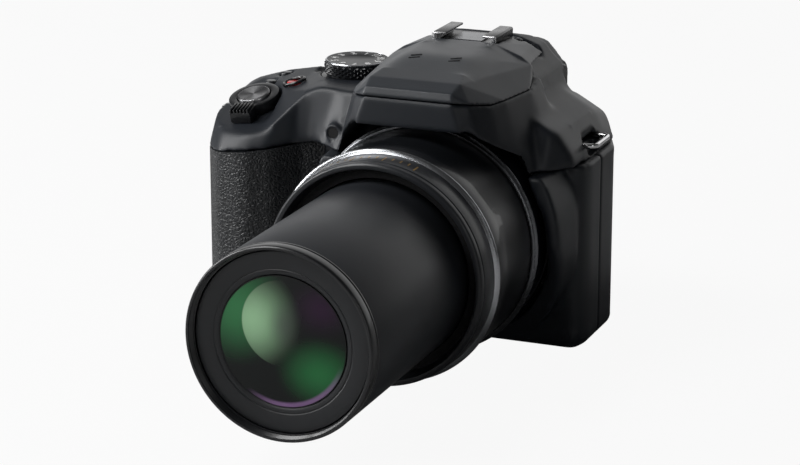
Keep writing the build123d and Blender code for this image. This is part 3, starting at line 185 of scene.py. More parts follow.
def soft_copy(name, voxel, turns, material, body, regions=(), kept=(), blends=0):
    """A moulded piece with rounded edges that stands for a solid node. Inside its regions, but not in the
    parts of them that are kept, the edges turn with a larger radius."""
    shape = welded(name)
    mesh = bpy.data.meshes.new(name + "_skin")
    shape.to_mesh(mesh)
    shape.free()
    rough_piece = bpy.data.objects.new(name + "_skin", mesh)
    bpy.context.scene.collection.objects.link(rough_piece)
    remesh = rough_piece.modifiers.new("skin", "REMESH")
    remesh.mode = "VOXEL"
    remesh.voxel_size = voxel
    remesh.use_smooth_shade = True
    smooth = rough_piece.modifiers.new("soften", "SMOOTH")
    smooth.factor = 0.5
    smooth.iterations = turns
    bpy.context.view_layer.update()
    done = bpy.data.meshes.new_from_object(rough_piece.evaluated_get(bpy.context.evaluated_depsgraph_get()))
    bpy.data.objects.remove(rough_piece)
    if regions:
        shape = bmesh.new()
        shape.from_mesh(done)
        chosen = [
            vert for vert in shape.verts
            if any(inside(vert.co, region) for region in regions) and not any(inside(vert.co, part) for part in kept)
        ]
        for _ in range(blends):
            bmesh.ops.smooth_vert(
                shape, verts=chosen, factor=0.5, use_axis_x=True, use_axis_y=True, use_axis_z=True
            )
        shape.to_mesh(done)
        shape.free()
    return show(name + "_moulding", done, material, body, (name,))


def inside(point, region):
    """Is a point in metres inside a box given in millimetres as low and high ends along each axis?"""
    return all(low * MM < value < high * MM for value, (low, high) in zip(point, region))


shell_plastic = moulded("shell_plastic", SHELL, 0.44)
shell_voxel = 0.62 * MM
soft_turns = 5
shell_blends = 26
blended = {
    "top_cover": (
        ((17, 52), (-60, -12), (57, 82.3)), ((-50, -17), (-60, -12), (57, 82.3)),
        ((25, 50), (-30, 24), (62, 82)), ((-86, -45), (-43, -24), (57, 66)),
    ),
    "front_case": (((-50, 52), (-60, -12), (6, 58)),),
    "rear_case": (((36, 52), (4, 30), (4, 58)), ((-86, -75), (4, 30), (4, 50))),
}
unblended = (
    ((-42, -31.5), (-33, -26), (61, 71)), ((35, 47), (-15, 5), (58, 72)), ((20, 28), (-9, 1), (80, 86)),
    ((-90, -50), (-26, 2), (60, 80)), ((-36, 36), (-60, -16), (0, 58)),
)
for name in ("front_case", "rear_case", "top_cover"):
    soft_copy(
        name, shell_voxel, soft_turns, shell_plastic, BODY, blended[name], unblended,
        shell_blends,
    )

# Grip cover: soft rubber moulded round the grip and glued down, with a pebbled leather grain.
# Its roughness varies a little over the surface.
RUBBER = (0.014, 0.0155, 0.018)
grip_rubber, shader, place = new_finish("grip_rubber", RUBBER, 0.5)
pebble_scale = 1 / (1.15 * MM)
pebble_wander = 0.9 * MM
groove = 0.28
# The grooves between the pebbles are painted darker: a painted shade in the creases.
groove_shade = tuple(c * 0.55 for c in RUBBER)
warp = place.node("TexNoise", None, {"Vector": place, "Scale": 300.0, "Detail": 2.0}, "Color")
warped = place.node("VectorMath", {"operation": "MULTIPLY_ADD"}, {0: warp, 1: (pebble_wander,) * 3, 2: place})
cells = place.node(
    "TexVoronoi", {"feature": "DISTANCE_TO_EDGE"}, {"Vector": warped, "Scale": pebble_scale}, "Distance"
)
pebbles = cells.step(0.0, groove)
feed(shader, "Base Color", mixed(pebbles, groove_shade, tinted(place, RUBBER, 0.12, 80.0)))
feed(shader, "Roughness", noise(place, 120.0) * 0.14 + 0.36)
feed(shader, "Normal", relief(pebbles + noise(place, 3000.0) * 0.25, 0.22 * MM, 0.9))
dress("grip_cover", grip_rubber)

# Fixed barrel of the lens: an aluminium tube, turned, painted in smooth dark enamel and screwed to the lens base.
# It has a shallow step behind the label band and a flange inside the housing.
AXIS = 38.7


def turned(outline, steps=128, origin=(0.0, 0.0, AXIS), up=(0.0, 1.0, 0.0), easing=0.0):
    """A shape turned from a closed outline of (place along the axis, radius), its edges eased, in millimetres."""
    shape = bmesh.new()
    verts = [shape.verts.new((radius, 0, along)) for along, radius in outline]
    edges = [shape.edges.new((verts[i - 1], verts[i])) for i in range(len(verts))]
    bmesh.ops.spin(
        shape, geom=verts + edges, cent=(0, 0, 0), axis=(0, 0, 1), angle=tau, steps=steps, use_merge=True
    )
    bmesh.ops.remove_doubles(shape, verts=shape.verts, dist=0.0005)
    bmesh.ops.dissolve_degenerate(shape, edges=shape.edges, dist=0.0005)
    bmesh.ops.recalc_face_normals(shape, faces=shape.faces)
    ease(shape, easing)
    turn = Vector((0, 0, 1)).rotation_difference(Vector(up)).to_matrix().to_4x4()
    bmesh.ops.transform(shape, matrix=Matrix.Translation(origin) @ turn, verts=shape.verts)
    return shape


def ease(shape, width, angle=25.0, segments=2):
    """Round every edge that turns by more than an angle."""
    if width <= 0:
        return
    edges = [e for e in shape.edges if len(e.link_faces) == 2 and e.calc_face_angle(0) > radians(angle)]
    bmesh.ops.bevel(
        shape, geom=edges, offset=width, offset_type="OFFSET", segments=segments, profile=0.5,
        affect="EDGES", material=-1, clamp_overlap=True,
    )


def settle(name, shape, finish, body, hides=(), sharp=32.0):
    """Turn a shape in millimetres into a finished piece on its body."""
    bmesh.ops.scale(shape, vec=(MM, MM, MM), verts=shape.verts)
    for face in shape.faces:
        face.smooth = True
    mesh = bpy.data.meshes.new(name)
    shape.to_mesh(mesh)
    shape.free()
    mesh.set_sharp_from_angle(angle=radians(sharp))
    return show(name, mesh, finish, body, hides)


def radial(place, origin, along):
    """Distance of the surface from an axis through a point, as a wire in metres."""
    offset = place.node("VectorMath", {"operation": "SUBTRACT"}, {0: place, 1: tuple(c * MM for c in origin)})
    across = offset.node("VectorMath", {"operation": "CROSS_PRODUCT"}, {0: offset, 1: along})
    return across.node("VectorMath", {"operation": "LENGTH"}, {0: across}, "Value")


def along_axis(place, origin, axis):
    """Place of the surface along an axis through a point, as a wire in metres."""
    offset = place.node("VectorMath", {"operation": "SUBTRACT"}, {0: place, 1: tuple(c * MM for c in origin)})
    return offset.node("VectorMath", {"operation": "DOT_PRODUCT"}, {0: offset, 1: axis}, "Value")


def enamel(name, colour, rough, coat, pitch=0.25 * MM, depth=0.004 * MM):
    """Paint on turned metal: faint rings from the lathe under it, and a sheen that varies a little."""
    material, shader, place = uneven(name, colour, 0.1, 45.0, rough - 0.04, 0.08, 70.0, coat=coat)
    shader.inputs["Specular IOR Level"].default_value = 0.32
    rings = (along_axis(place, (0, 0, AXIS), (0, 1, 0)) * (tau / pitch)).maths("SINE")
    feed(shader, "Normal", relief(rings + noise(place, 2600.0) * 1.5, depth, 0.6))
    return material


barrel_paint = enamel("barrel_paint", (0.0085, 0.0095, 0.0115), 0.3, 0.25)
barrel_bore = 31.5
barrel_r = 35.7
settle(
    "barrel_tube",
    turned(
        [
            (-78.4, barrel_bore), (-78.4, 34.0), (-73.6, 34.0), (-73.6, 35.0), (-73.3, 35.0), (-73.3, 36.0),
            (-66.4, 36.0), (-64.7, barrel_r), (-44.7, barrel_r), (-44.2, 35.4), (-41.8, 35.4), (-41.3, barrel_r),
            (-28.2, barrel_r), (-28.2, 36.2), (-25.4, 36.2), (-25.4, barrel_bore),
        ],
        easing=0.12,
    ),
    barrel_paint, BODY, ("outer_barrel",),
)

# Ring at the mouth of the fixed barrel: moulded, with a satin label band that carries plain gold ticks.
# Its lip is rounded on the outside, and a dark chamfer leads in to the moving tube.
band_paint = enamel("band_paint", (0.018, 0.0195, 0.0225), 0.34, 0.1)
settle(
    "mouth_ring",
    turned(
        [
            (-85.0, 32.9), (-85.0, 34.1), (-84.4, 34.7), (-82.9, 34.85), (-82.6, 34.6), (-82.3, 34.9),
            (-75.35, 35.2), (-75.35, 34.05), (-78.5, 34.05), (-78.5, 31.6), (-80.0, 31.6), (-83.4, 32.5),
        ],
        easing=0.14,
    ),
    band_paint, BODY, ("front_ring",),
)
gold_ink, _, _ = uneven("gold_ink", (0.42, 0.26, 0.09), 0.15, 300.0, 0.36, 0.1, 400.0, metal=0.55)


def bars(rows):
    """Thin printed bars: each row gives the middle, two half sides as vectors, and the height above the surface."""
    shape = bmesh.new()
    for middle, half_a, half_b, lift in rows:
        middle, half_a, half_b = Vector(middle), Vector(half_a), Vector(half_b)
        normal = half_a.cross(half_b).normalized() * lift
        corners = []
        for rise in (-normal, normal):
            for a, b in ((-1, -1), (1, -1), (1, 1), (-1, 1)):
                corners.append(shape.verts.new(middle + a * half_a + b * half_b + rise))
        bmesh.ops.convex_hull(shape, input=corners)
    bmesh.ops.recalc_face_normals(shape, faces=shape.faces)
    return shape


def ring_bar(angle, along, radius, half_around, half_along, lift=0.03):
    """A bar that lies on a ring about the lens axis, at an angle from straight up."""
    out = Vector((sin(angle), 0, cos(angle)))
    around = Vector((cos(angle), 0, -sin(angle)))
    return (out * radius + Vector((0, along, AXIS)), around * half_around, Vector((0, half_along, 0)), lift)


tick_count = 13
first_tick = -31.0
tick_gap = 4.2
tick_start = -77.6
tick_radius = 35.08
tick_half_width = 0.2
tick_rows = []
for tick in range(tick_count):
    half_long = 1.9 if tick % 4 == 0 else 1.0
    angle = radians(first_tick + tick_gap * tick)
    tick_rows.append(ring_bar(angle, tick_start - half_long, tick_radius, tick_half_width, half_long))
settle("band_ticks", bars(tick_rows), gold_ink, BODY)

# Bright step ring behind the label band: aluminium, turned and polished, pressed on.
# Fine rings from the lathe spread its shine round the lens.
fine_steps = 160
lathe_pitch = 0.12 * MM
silver, shader, place = uneven("silver_metal", (0.45, 0.46, 0.48), 0.06, 90.0, 0.17, 0.1, 500.0, metal=1.0)
lathe = (along_axis(place, (0, 0, AXIS), (0, 1, 0)) * (tau / lathe_pitch)).maths("SINE")
feed(shader, "Normal", relief(lathe, 0.004 * MM, 0.8))
settle(
    "step_ring",
    turned(
        [(-75.3, 34.05), (-75.3, 35.35), (-74.9, 36.2), (-74.4, 36.6), (-73.9, 36.6), (-73.9, 34.05)],
        steps=fine_steps, easing=0.1,
    ),
    silver, BODY, ("silver_ring",),
)
dark_ring, shader, place = uneven("dark_metal", (0.16, 0.165, 0.175), 0.1, 80.0, 0.2, 0.12, 400.0, metal=1.0)
ring_waves = 40000.0
feed(shader, "Normal", relief((radial(place, (0, 0, AXIS), (0, 1, 0)) * ring_waves).maths("SINE"), 0.003 * MM))

# Ring near the body: thin, turned and anodised, with two raised lands and a groove between them.
settle(
    "rear_band",
    turned(
        [
            (-44.45, 35.75), (-44.45, 36.5), (-44.1, 36.9), (-43.7, 36.9), (-43.5, 36.55), (-42.9, 36.55),
            (-42.7, 37.3), (-42.2, 37.4), (-41.55, 37.0), (-41.55, 35.75),
        ],
        steps=fine_steps, easing=0.08,
    ),
    dark_ring, BODY, ("rear_ring",),
)

# Zoom barrel: the moving tube, drawn aluminium, blasted and anodised black, so that its sheen is broad and soft.
# Its front carries the filter ring, and a flocked seal in the fixed barrel keeps light out round it.
tube_plastic = enamel("tube_plastic", (0.0185, 0.0205, 0.0245), 0.4, 0.0, pitch=0.5 * MM, depth=0.006 * MM)
tube_r = 28.6
tube_bore = 27.1
tube_front = -148.0
tube_back = -76.1
settle(
    "moving_tube",
    turned(
        [(tube_front, tube_bore), (tube_front, tube_r), (tube_back, tube_r), (tube_back, tube_bore)],
        steps=fine_steps, easing=0.1,
    ),
    tube_plastic, "lens_tube", ("zoom_barrel",),
)
FLOCK = (0.006, 0.006, 0.007)
flock, shader, place = new_finish("flocked_seal", FLOCK, 0.9)
feed(shader, "Base Color", tinted(place, FLOCK, 0.3, 800.0))
feed(shader, "Normal", relief(noise(place, 5000.0), 0.08 * MM))
dress("light_shield", flock)

# Filter ring at the front of the tube: black anodised aluminium with a fine screw thread inside its lip.
# The thread is a helix of 0.75 mm pitch, and the lip's outer corner is turned round.
gloss_black, shader, place = uneven("gloss_black", (0.007, 0.0075, 0.009), 0.15, 90.0, 0.27, 0.08, 150.0, coat=0.15)
feed(shader, "Normal", relief(noise(place, 2500.0), 0.004 * MM))
settle(
    "filter_rim",
    turned(
        [
            (-152.8, 27.45), (-152.8, 28.15), (-152.5, 28.45), (-151.9, tube_r), (-149.4, tube_r), (-149.2, 28.4),
            (-148.9, 28.4), (-148.7, tube_r), (-148.05, tube_r), (-148.05, 27.2), (-145.6, 27.05), (-145.6, 21.6),
            (-148.4, 21.6), (-148.4, 26.75), (-150.3, 26.75), (-150.3, 27.45),
        ],
        steps=fine_steps, easing=0.1,
    ),
    gloss_black, "lens_tube", ("filter_ring",),
)
thread_start = -152.75
root_radius = 27.5
crest_radius = 27.18
thread_wall = 0.05
pitch = 0.75
thread_turns = 2.6
thread_steps = 96
thread = bmesh.new()
ridge = [
    thread.verts.new((radius, 0, rise))
    for radius, rise in ((root_radius, 0), (crest_radius, pitch / 2), (root_radius, pitch))
]
ridge_edges = [thread.edges.new(ridge[:2]), thread.edges.new(ridge[1:])]
bmesh.ops.spin(
    thread, geom=ridge + ridge_edges, cent=(0, 0, 0), axis=(0, 0, 1), angle=tau * thread_turns,
    dvec=(0, 0, pitch / thread_steps), steps=int(thread_steps * thread_turns),
)
bmesh.ops.solidify(thread, geom=thread.faces, thickness=-thread_wall)
bmesh.ops.recalc_face_normals(thread, faces=thread.faces)
turn_forward = Vector((0, 0, 1)).rotation_difference(Vector((0, 1, 0))).to_matrix().to_4x4()
bmesh.ops.transform(
    thread, matrix=Matrix.Translation((0, thread_start, AXIS)) @ turn_forward, verts=thread.verts
)
settle("filter_thread", thread, gloss_black, "lens_tube")

# Name ring: a plain black plate behind the thread, with two fine turned rings near its inner edge.
# Its paint is matt, so that it throws little light back at the glass.
plate_black, shader, place = uneven("plate_black", (0.0095, 0.0105, 0.0125), 0.1, 60.0, 0.38, 0.08, 200.0)
feed(shader, "Normal", relief(noise(place, 3000.0), 0.008 * MM))
settle(
    "bare_plate",
    turned(
        [
            (-148.6, 26.65), (-149.55, 26.65), (-150.0, 26.3), (-149.6, 21.4), (-149.35, 21.1), (-149.5, 20.8),
            (-149.35, 19.9), (-149.1, 19.4), (-148.6, 19.4),
        ],
        steps=fine_steps, easing=0.05,
    ),
    plate_black, "lens_tube", ("name_ring",),
)

# Front element: a ground and polished glass dome in its cell, with a coated surface and a painted shade round its
# edge.
# Its colour holds painted reflections in green and purple, palest over a disc that stands for the inner groups.
glass_half = 19.25
glass, shader, place = new_finish("optical_glass", (0.01, 0.012, 0.012), 0.05, coat=0.35)
shader.inputs["Coat Roughness"].default_value = 0.02
shader.inputs["Specular IOR Level"].default_value = 0.15
glass_centre = (0, -150.0, AXIS)
across = along_axis(place, glass_centre, (1, 0, 0)) / (glass_half * MM)
height = along_axis(place, glass_centre, (0, 0, 1)) / (glass_half * MM)


def patch(x, z, reach_x, reach_z):
    """A soft oval on the glass, 1 at its middle and 0 at its edge. Places and reaches are in half widths of the
    glass."""
    left = (across - x) / reach_x
    rise = (height - z) / reach_z
    return 1 - (left * left + rise * rise).maths("SQRT").step(0.0, 1.0)


rim_distance = radial(place, glass_centre, (0, 1, 0)) / (glass_half * MM)
inner_x, inner_z, inner_r = 0.02, 0.28, 0.65
inner_left = across - inner_x
inner_rise = height - inner_z
inner_distance = (inner_left * inner_left + inner_rise * inner_rise).maths("SQRT")
painted_inner_disc = 1 - inner_distance.step(inner_r - 0.01, inner_r + 0.01)
# The green and purple patches, the pale disc and the bright crescent below are painted reflections in the glass's
# colour.
painted_outer_green = patch(-0.8, 0.5, 1.0, 1.0) * (1 - painted_inner_disc)
painted_pale_green = patch(-0.5, 0.32, 0.85, 0.85) * painted_inner_disc
painted_low_green = patch(0.6, -0.42, 0.75, 0.62)
painted_plum = patch(0.62, 0.58, 0.6, 0.5) + patch(0.02, 0.28, 0.3, 0.45) * 0.8
painted_plum_crescent = rim_distance.step(0.9, 0.95) * (across * 0.35 - height).step(0.55, 1.0)
painted_reflections = mixed(painted_outer_green, (0.0015, 0.003, 0.003), (0.045, 0.24, 0.085))
painted_reflections = mixed(painted_pale_green, painted_reflections, (0.36, 0.62, 0.36))
painted_reflections = mixed(painted_low_green, painted_reflections, (0.02, 0.17, 0.05))
painted_reflections = mixed(painted_plum * 0.5, painted_reflections, (0.045, 0.008, 0.05))
painted_reflections = mixed(painted_plum_crescent * 0.8, painted_reflections, (0.3, 0.17, 0.36))
# The outer edge is painted near black, a painted shade for the gap between the glass and the name ring.
painted_reflections = mixed(rim_distance.step(0.975, 1.0), painted_reflections, (0.002, 0.002, 0.002))
feed(shader, "Base Color", painted_reflections)
feed(shader, "Roughness", noise(place, 90.0) * 0.03 + 0.03)
dome_steps = 14
dome_edge = -149.35
dome_rise = 0.95
cell_front = -148.35
cell_back = -146.0
cell_r = 21.4
dome = []
for step in range(dome_steps + 1):
    radius = glass_half * (1 - step / dome_steps)
    dome.append((dome_edge - dome_rise * (1 - (radius / glass_half) ** 2), radius))
settle(
    "reflection_painted_dome",
    turned(dome + [(cell_back, 0.0), (cell_back, cell_r), (cell_front, cell_r), (cell_front, glass_half)]),
    glass, "lens_tube", ("front_glass",), sharp=40.0,
)

# Inside the lens: base plate, rods, cam ring, two moving groups, shutter and image sensor.
# Cast and turned parts are blackened, the rods are ground steel, and the board is green laminate.
steel, shader, place = uneven("steel", (0.55, 0.55, 0.56), 0.07, 120.0, 0.18, 0.16, 350.0, metal=1.0)
feed(shader, "Normal", relief(noise(place, 1800.0), 0.006 * MM))
inside_black = moulded("inside_black", (0.012, 0.012, 0.013), 0.6)
GREEN = (0.012, 0.07, 0.028)
laminate, shader, place = new_finish("board_green", GREEN, 0.35, coat=0.3)
tracks = place.node("TexBrick", None, {"Vector": place, "Scale": 260.0, "Mortar Size": 0.03}, "Fac")
feed(shader, "Base Color", mixed(tracks, GREEN, (0.03, 0.13, 0.05)))
feed(shader, "Roughness", noise(place, 300.0) * 0.1 + 0.3)
wrapped = moulded("cell_black", (0.02, 0.022, 0.03), 0.35, depth=0.01 * MM, coat=0.2)
sleeve = moulded("cap_sleeve", (0.03, 0.032, 0.05), 0.3, depth=0.006 * MM, coat=0.5)
sensor_glass = moulded("sensor_glass", (0.02, 0.03, 0.035), 0.12, depth=0.002 * MM, coat=0.8)
for material, names in (
    (steel, ("guide_rods", "chassis_plate", "zoom_motor", "tripod_socket", "flash_hinge_pin")),
    (inside_black, ("lens_base", "cam_ring", "shutter_unit", "variator_group", "focus_group", "port_sockets")),
    (sensor_glass, ("image_sensor", "evf_module", "lcd_module")),
    (laminate, ("main_board",)),
    (wrapped, ("battery", "memory_card", "speaker")),
    (sleeve, ("flash_capacitor",)),
):
    for name in names:
        dress(name, material)

# Flash lid over the lens: moulded in a slightly smoother, paler plastic, faceted, hinged behind the shoe.
# Two pairs of short slanted slots sit in its middle panel, drawn as thin bars in a near-black painted shade.
LID = (0.0265, 0.0300, 0.0355)
lid_plastic = moulded("lid_plastic", LID, 0.4, pitch=0.45 * MM, depth=0.035 * MM)
lid_voxel = 0.42 * MM
lid_crease = ((-17, 17), (-44, -16), (86, 97))
lid_blends = 160
soft_copy(
    "flash_lid", lid_voxel, soft_turns, lid_plastic, "flash_unit", (lid_crease,),
    blends=lid_blends,
)


def land(name):
    """A finder of the surface height of a node at a place in plan, in millimetres."""
    shape = welded(name)
    tree = BVHTree.FromBMesh(shape)
    shape.free()

    def find(x, y):
        point, normal, _, _ = tree.ray_cast(Vector((x * MM, y * MM, 0.2)), Vector((0, 0, -1)))
        return point / MM, normal

    return find


on_lid = land("flash_lid")
on_cover = land("top_cover")
# Near black for openings: a painted shade, used for the lid's slots and for the autofocus lamp's window.
SHADE_BLACK = (0.0025, 0.0025, 0.003)
painted_shade_black, shader, place = new_finish("slot_shadow", SHADE_BLACK, 0.8)
feed(shader, "Base Color", tinted(place, SHADE_BLACK, 0.2, 500.0))
slot_off_centre = 6.6
slot_start = -33.4
slot_gap = 1.9
half_slot = Vector((0.75, 0.3))
slot_reach = 0.95
slot_half_width = 0.3
slant = Vector((1, 0.38, 0))
slot_rows = []
for side in (-1, 1):
    for row in (0, 1):
        for part in (-1, 1):
            spot, normal = on_lid(
                side * slot_off_centre + half_slot.x * part, slot_start - slot_gap * row + half_slot.y * part
            )
            along = (slant - normal * slant.dot(normal)).normalized()
            slot_rows.append(
                (spot + normal * 0.01, along * slot_reach, normal.cross(along) * slot_half_width, 0.04)
            )
settle("lid_slots", bars(slot_rows), painted_shade_black, "flash_unit")

# Accessory shoe: stamped steel, plated bright, with rails rolled over at the front and sprung contacts between.
# The flash head under the lid has a ribbed clear window over its reflector.


def eased_copy(name, width, finish, body, angle=30.0, segments=2):
    """A small piece with its edges rounded, that stands for a solid node."""
    shape = welded(name)
    bmesh.ops.scale(shape, vec=(1 / MM,) * 3, verts=shape.verts)
    bmesh.ops.dissolve_limit(
        shape, angle_limit=radians(0.8), use_dissolve_boundaries=False, verts=shape.verts, edges=shape.edges
    )
    ease(shape, width, angle, segments)
    bmesh.ops.triangulate(shape, faces=[face for face in shape.faces if len(face.verts) > 4])
    return settle(name + "_eased", shape, finish, body, (name,))


shoe_steel, shader, place = new_finish("shoe_steel", (0.42, 0.42, 0.42), 0.26, metal=1.0)
feed(shader, "Roughness", noise(place, 500.0) * 0.14 + 0.2)
bare_to, plated_from = -9.7 * MM, -9.1 * MM
bare_end = 1 - along_axis(place, (0, 0, 0), (0, 1, 0)).step(bare_to, plated_from)
feed(shader, "Base Color", mixed(bare_end, tinted(place, (0.07, 0.07, 0.072), 0.12, 90.0), (0.75, 0.75, 0.76)))
eased_copy("hot_shoe", 0.22, shoe_steel, "flash_unit")
dress("shoe_contacts", dark_ring)
window, shader, place = new_finish("flash_window", (0.5, 0.5, 0.48), 0.12, coat=0.6)
rib_pitch = 1.2 * MM
ribs = (along_axis(place, (0, 0, 0), (1, 0, 0)) * (tau / rib_pitch)).maths("SINE")
feed(shader, "Base Color", mixed(ribs.step(-1.0, 1.0), (0.38, 0.38, 0.36), (0.6, 0.6, 0.58)))
feed(shader, "Normal", relief(ribs, 0.15 * MM))
dress("flash_head", window)

# Mode dial: moulded, with a diamond-knurled edge in three rows, a bright turned rim and a black printed top.
# The lever that switches the camera on turns round its foot.
DIAL = (-42.0, 3.0)
dial_low = 77.5
dial_high = 82.7
dial_r = 11.0
knurl_depth = 0.75
plate_r = dial_r - 1.0
foot_low, foot_r = 74.3, 3.0
knurl_black = moulded("knurl_black", (0.011, 0.012, 0.014), 0.3, depth=0.004 * MM)


def knurled(low, high, outer, valley, cells, rows, top_r):
    """A short drum with a diamond-knurled wall, closed at both ends, about the vertical axis."""
    shape = bmesh.new()
    rings = []
    for level in range(2 * rows + 1):
        z = low + (high - low) * level / (2 * rows)
        ring = []
        for step in range(2 * cells):
            radius = outer if (level + step) % 2 == 0 and 0 < level < 2 * rows else valley
            angle = tau * step / (2 * cells)
            ring.append(shape.verts.new((radius * cos(angle), radius * sin(angle), z)))
        rings.append(ring)
    for level in range(2 * rows):
        for step in range(2 * cells):
            after = (step + 1) % (2 * cells)
            corners = [rings[level][step], rings[level][after], rings[level + 1][after], rings[level + 1][step]]
            face = shape.faces.new(corners)
            low_corner = 0 if (level + step) % 2 else 1
            bmesh.utils.face_split(face, corners[low_corner], corners[low_corner + 2])
    shape.faces.new(rings[0][::-1])
    cap = shape.faces.new(rings[-1])
    bmesh.ops.inset_region(shape, faces=[cap], thickness=valley - top_r, depth=0.0)
    bmesh.ops.recalc_face_normals(shape, faces=shape.faces)
    return shape


knurl_cells = 30
drum = knurled(dial_low + 0.4, dial_high - 0.75, dial_r, dial_r - knurl_depth, knurl_cells, 3, dial_r - 1.4)
bmesh.ops.translate(drum, vec=(*DIAL, 0), verts=drum.verts)
settle("dial_drum", drum, knurl_black, "mode_dial", ("mode_dial",), sharp=12.0)
settle(
    "dial_foot",
    turned(
        [
            (foot_low, 0.0), (foot_low, foot_r), (dial_low, foot_r), (dial_low, dial_r - 0.9),
            (dial_low + 0.5, dial_r - 0.9), (dial_low + 0.5, 0.0),
        ],
        steps=64, origin=(*DIAL, 0), up=(0, 0, 1),
    ),
    knurl_black, "mode_dial",
)
rim_metal, _, _ = uneven("rim_metal", (0.5, 0.51, 0.53), 0.08, 200.0, 0.18, 0.1, 700.0, metal=1.0)
settle(
    "dial_rim",
    turned(
        [
            (dial_high - 0.8, dial_r - 0.75), (dial_high - 0.45, dial_r - 0.45), (dial_high - 0.08, dial_r - 0.75),
            (dial_high - 0.08, plate_r), (dial_high - 0.8, plate_r),
        ],
        origin=(*DIAL, 0), up=(0, 0, 1), easing=0.05,
    ),
    rim_metal, "mode_dial",
)
dial_top = moulded("dial_top", (0.0075, 0.008, 0.0095), 0.4, depth=0.01 * MM)
settle(
    "dial_plate",
    turned(
        [
            (dial_high - 0.8, 0.0), (dial_high - 0.8, plate_r), (dial_high - 0.14, plate_r),
            (dial_high - 0.2, dial_r - 1.3), (dial_high - 0.2, 5.6), (dial_high - 0.32, 5.4), (dial_high - 0.32, 0.0),
        ],
        steps=96, origin=(*DIAL, 0), up=(0, 0, 1),
    ),
    dial_top, "mode_dial",
)
white_ink, _, _ = uneven("white_ink", (0.72, 0.72, 0.72), 0.05, 600.0, 0.45, 0.1, 500.0)


def lettered(words, size, places, thickness=0.03):
    """Flat printed figures, each at its own place: one matrix for each word, in millimetres."""
    shape = bmesh.new()
    for word, matrix in zip(words, places):
        curve = bpy.data.curves.new("figure", "FONT")
        curve.body = word
        curve.size = size
        curve.extrude = thickness
        curve.align_x = "CENTER"
        curve.align_y = "CENTER"
        curve.offset = 0.1
        curve.resolution_u = 3
        holder = bpy.data.objects.new("figure", curve)
        flat = bpy.data.meshes.new_from_object(holder)
        flat.transform(matrix)
        shape.from_mesh(flat)
        bpy.data.objects.remove(holder)
        bpy.data.meshes.remove(flat)
    bmesh.ops.remove_doubles(shape, verts=shape.verts, dist=0.0001)
    return shape


figures = ["1", "2", "3", "4", "5", "6", "7", "8", "9", "10", "11"]
figure_size = 3.4
figure_reach = Matrix.Translation((0, 7.6, 0))
dial_face = Matrix.Translation((*DIAL, dial_high - 0.19))
figure_places = [
    dial_face @ Matrix.Rotation(tau * turn / len(figures), 4, "Z") @ figure_reach for turn in range(len(figures))
]
settle("dial_figures", lettered(figures, figure_size, figure_places), white_ink, "mode_dial")
index_place = (-55.6, 4.0)
spot, normal = on_cover(*index_place)
settle(
    "deck_index",
    bars([(spot + normal * 0.02, Vector((1.1, -0.1, 0)), Vector((0.03, 0.28, 0)), 0.03)]),
    white_ink, BODY,
)
eased_copy("power_lever", 0.2, knurl_black, "power_lever")

# Shutter button and zoom lever on the tilted seat: a cap of spun metal in a black ring with a ribbed tab.
# The spinning leaves fine rings in the cap; two bright fan-shaped streaks across it are a painted highlight in its
# colour.
SEAT_UP = Vector((-0.113, -0.28, 1.0)).normalized()
SEAT = Vector((-71.1, -13.3, 67.9))
cap_metal, shader, place = new_finish("spun_cap", (0.1, 0.1, 0.105), 0.3, metal=1.0)
seat_right = Vector((1, 0, 0.113)).normalized()
seat_ahead = SEAT_UP.cross(seat_right)
cap_u = along_axis(place, tuple(SEAT), tuple(seat_right))
cap_v = along_axis(place, tuple(SEAT), tuple(seat_ahead))
# The cap's colour is lighter in two fan-shaped streaks and faintly in three more: a painted highlight.
highlight_heading = 2.3
swing = cap_v.maths("ARCTAN2", cap_u)
highlight_lobes = ((swing - highlight_heading) * 2.0).maths("COSINE") * 0.5 + 0.5
faint_highlight_lobes = (swing * 3.0 + 0.6).maths("COSINE") * 0.5 + 0.5
painted_highlight_fans = highlight_lobes * highlight_lobes * highlight_lobes + faint_highlight_lobes * 0.25
feed(shader, "Base Color", mixed(painted_highlight_fans, (0.07, 0.07, 0.075), (0.62, 0.62, 0.63)))
feed(shader, "Roughness", noise(place, 300.0) * 0.08 + 0.26)
cap_ring_pitch = 0.16 * MM
cap_rings = (radial(place, tuple(SEAT), tuple(SEAT_UP)) * (tau / cap_ring_pitch)).maths("SINE")
feed(shader, "Normal", relief(cap_rings, 0.008 * MM))
cap_r = 5.5
settle(
    "release_cap",
    turned(
        [
            (0.5, 0.0), (0.5, cap_r), (4.0, cap_r), (4.35, cap_r - 0.15), (4.6, cap_r - 0.6), (4.5, cap_r - 1.3),
            (4.36, 3.0), (4.3, 1.5), (4.28, 0.0),
        ],
        steps=96, origin=SEAT, up=SEAT_UP, easing=0.05,
    ),
    cap_metal, "shutter_button", ("shutter_button",), sharp=50.0,
)
lever_black = moulded("lever_black", (0.0085, 0.009, 0.0105), 0.28, depth=0.006 * MM, coat=0.2)
eased_copy("zoom_lever", 0.14, lever_black, "zoom_lever")

# Small caps of the deck: the record cap is moulded in red and stands in a black oval collar, the others are black.
# Each is sprung in a round well of the top cover, and its rim is rounded.
red_plastic = moulded("red_plastic", (0.5, 0.016, 0.016), 0.3, depth=0.005 * MM, coat=0.3)
button_black = moulded("button_black", (0.014, 0.015, 0.0175), 0.3, depth=0.006 * MM, coat=0.1)
eased_copy("record_button", 0.2, red_plastic, "record_button")
for name in ("burst_button", "focus_button"):
    eased_copy(name, 0.2, button_black, name)
RECORD = (-60.3, -7.0)
collar_reach = 3.1
collar_stretch = 1.22
spot, normal = on_cover(RECORD[0] + collar_reach, RECORD[1])
collar = turned(
    [(-0.5, 2.62), (-0.5, 3.5), (0.12, 3.5), (0.42, 3.2), (0.42, 2.9), (0.05, 2.62)],
    steps=64, origin=(*RECORD, spot.z), up=normal, easing=0.05,
)
bmesh.ops.scale(
    collar, vec=(collar_stretch, 1.0, 1.0), verts=collar.verts,
    space=Matrix.Translation((*RECORD, spot.z)).inverted(),
)
settle("record_collar", collar, gloss_black, BODY)

